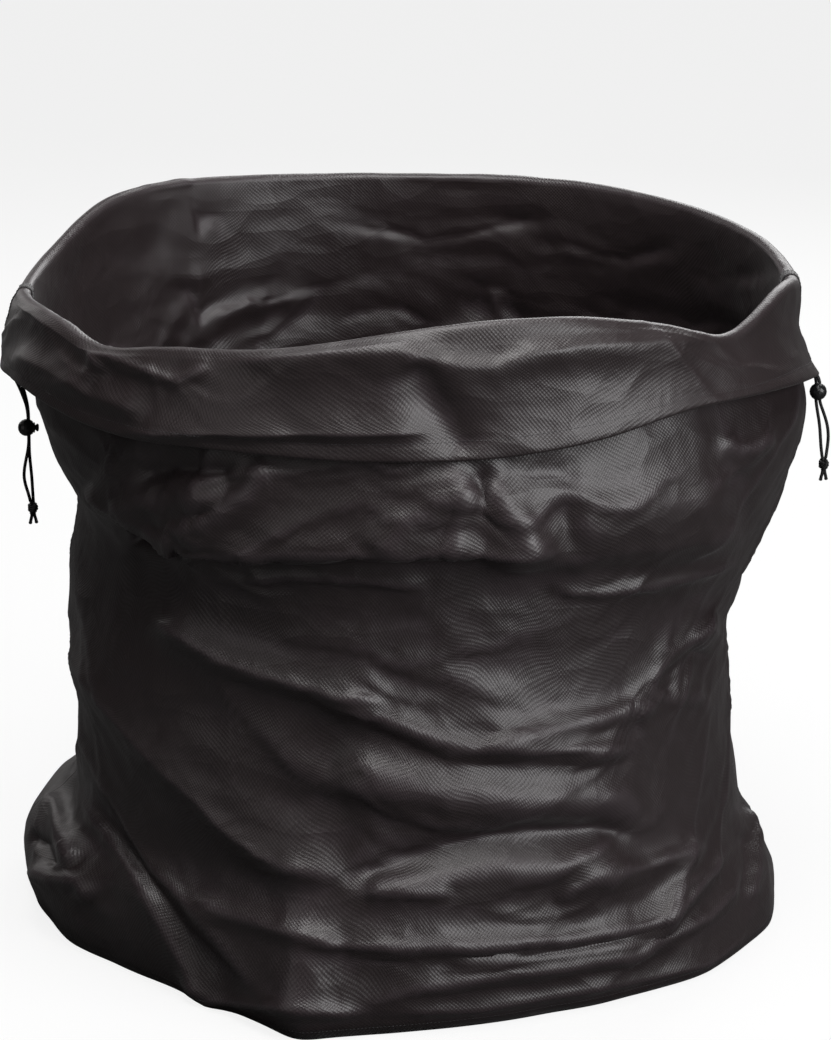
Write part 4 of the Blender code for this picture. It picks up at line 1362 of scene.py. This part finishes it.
def sewSack(grid, values):
    thread = makeThreadMaterial(values)
    away = -gridNormals(grid)
    count = grid.shape[0]
    half = count // 2
    row = stitchRow(grid)
    edge = hemValues["stitchColumns"]
    for name, first in (("backHemStitches", 0), ("frontHemStitches", half)):
        columns = [(first + step) % count for step in range(edge, half + 1 - edge)]
        makeStitches(name, [(grid[columns, row], away[columns, row])], thread, values)
    rows = slice(tapeFoot(grid, 0) + 1, row)
    for name, seam in (("rightTapeStitches", 0), ("leftTapeStitches", half)):
        seams = []
        for way in (-1, 1):
            near, far = (seam + way) % count, (seam + 2 * way) % count
            path = (grid[near, rows] + grid[far, rows]) / 2
            outs = away[near, rows] + away[far, rows]
            seams.append((path + outs / 2 * sheetValues["tapeGap"], outs))
        makeStitches(name, seams, thread, values)
    foot = wallAtHeight(grid, values["baseHeights"])
    outs = gridNormals(foot)[:, 0] * (1.0, 1.0, 0.0)
    makeStitches("baseStitches", [(wrap(foot[:, 0]), wrap(outs))], thread, values)


sackPlaces = puckerStitchLine(makeSack(sackValues), hemValues)
hemCentre, hemPlaces = hemRows(sackPlaces, hemValues)
makeWalls(sackPlaces, hemPlaces, sackValues)
print("walls made")
makeDrawcords(hemCentre, hemValues)
makeBase(sackPlaces, sheetValues)
makeBaseTape(sackPlaces, sheetValues)
makeSideTapes(sackPlaces, sheetValues)
sewSack(sackPlaces, stitchValues)
print("base, tapes, drawcord and stitches made")

# floor, light and background
stageValues = {
    "floorSize": 30.0, "floor": (0.85, 0.85, 0.85, 1.0), "whiteShare": 0.86, "roughness": 0.9,
    "bounce": (0.06, 0.06, 0.06, 1.0),      # what the floor gives back to the object
    "white": (1.0, 1.0, 1.0, 1.0), "softLight": 0.015,
}


def makeStage(values):
    mesh = bpy.data.meshes.new("floor")
    with opened(mesh) as plane:
        bmesh.ops.create_grid(plane, x_segments=1, y_segments=1, size=values["floorSize"])
    material, tree, shader = newMaterial("paleFloor")
    white = addNode(tree, "Emission", {"Color": values["white"], "Strength": 1.0})[0]
    seen = addNode(tree, "LightPath", {})["Is Camera Ray"]
    feed(tree, shader, {
        "Base Color": mixTones(tree, seen, values["bounce"], values["floor"]),
        "Roughness": values["roughness"],
    })
    share = calc(tree, "MULTIPLY", seen, values["whiteShare"])
    mix = addNode(tree, "MixShader", {0: share, 1: shader.outputs[0], 2: white})[0]
    feed(tree, tree.nodes["Material Output"], {"Surface": mix})
    meshObject("floor", mesh, material)


lightRows = (    # name, place, aim, size, watts, colour
    ("keyLight", (0.1, -1.5, 3.0), (0.0, 0.0, 0.35), 1.8, 53.0, (1.0, 0.99, 0.98)),
    ("sideLight", (2.5, -2.2, 1.5), (0.0, 0.0, 0.35), 2.0, 86.0, (0.99, 0.99, 1.0)),
    ("fillLight", (-2.4, -2.2, 1.4), (0.0, 0.0, 0.30), 2.2, 9.0, (1.0, 0.97, 0.96)),
    ("backLight", (0.9, 2.9, 2.1), (0.0, 0.0, 0.30), 2.0, 58.0, (1.0, 1.0, 1.0)),
    ("backFill", (-1.9, 2.6, 1.6), (0.0, 0.0, 0.30), 2.0, 13.0, (1.0, 0.98, 0.97)),
    ("topLight", (-0.2, -0.2, 2.8), (0.0, 0.0, 0.40), 1.4, 36.0, (1.0, 1.0, 1.0)),
)


def makeLights(values):
    for name, place, aim, size, watts, colour in lightRows:
        data = bpy.data.lights.new(name, "AREA")
        data.size, data.energy, data.color = size, watts, colour
        lamp = bpy.data.objects.new(name, data)
        lamp.location = place
        lamp.rotation_euler = (Vector(aim) - Vector(place)).to_track_quat("-Z", "Y").to_euler()
        scene.collection.objects.link(lamp)
    world = bpy.data.worlds.new("studio")
    scene.world = world
    world.use_nodes = True
    tree = world.node_tree
    tree.nodes.clear()
    soft, white = (
        addNode(tree, "Background", {"Color": values["white"], "Strength": strength})[0]
        for strength in (values["softLight"], 1.0)
    )
    seen = addNode(tree, "LightPath", {})["Is Camera Ray"]
    mix = addNode(tree, "MixShader", {0: seen, 1: soft, 2: white})[0]
    addNode(tree, "OutputWorld", {"Surface": mix})


makeStage(stageValues)
makeLights(stageValues)
print("floor and lights made")
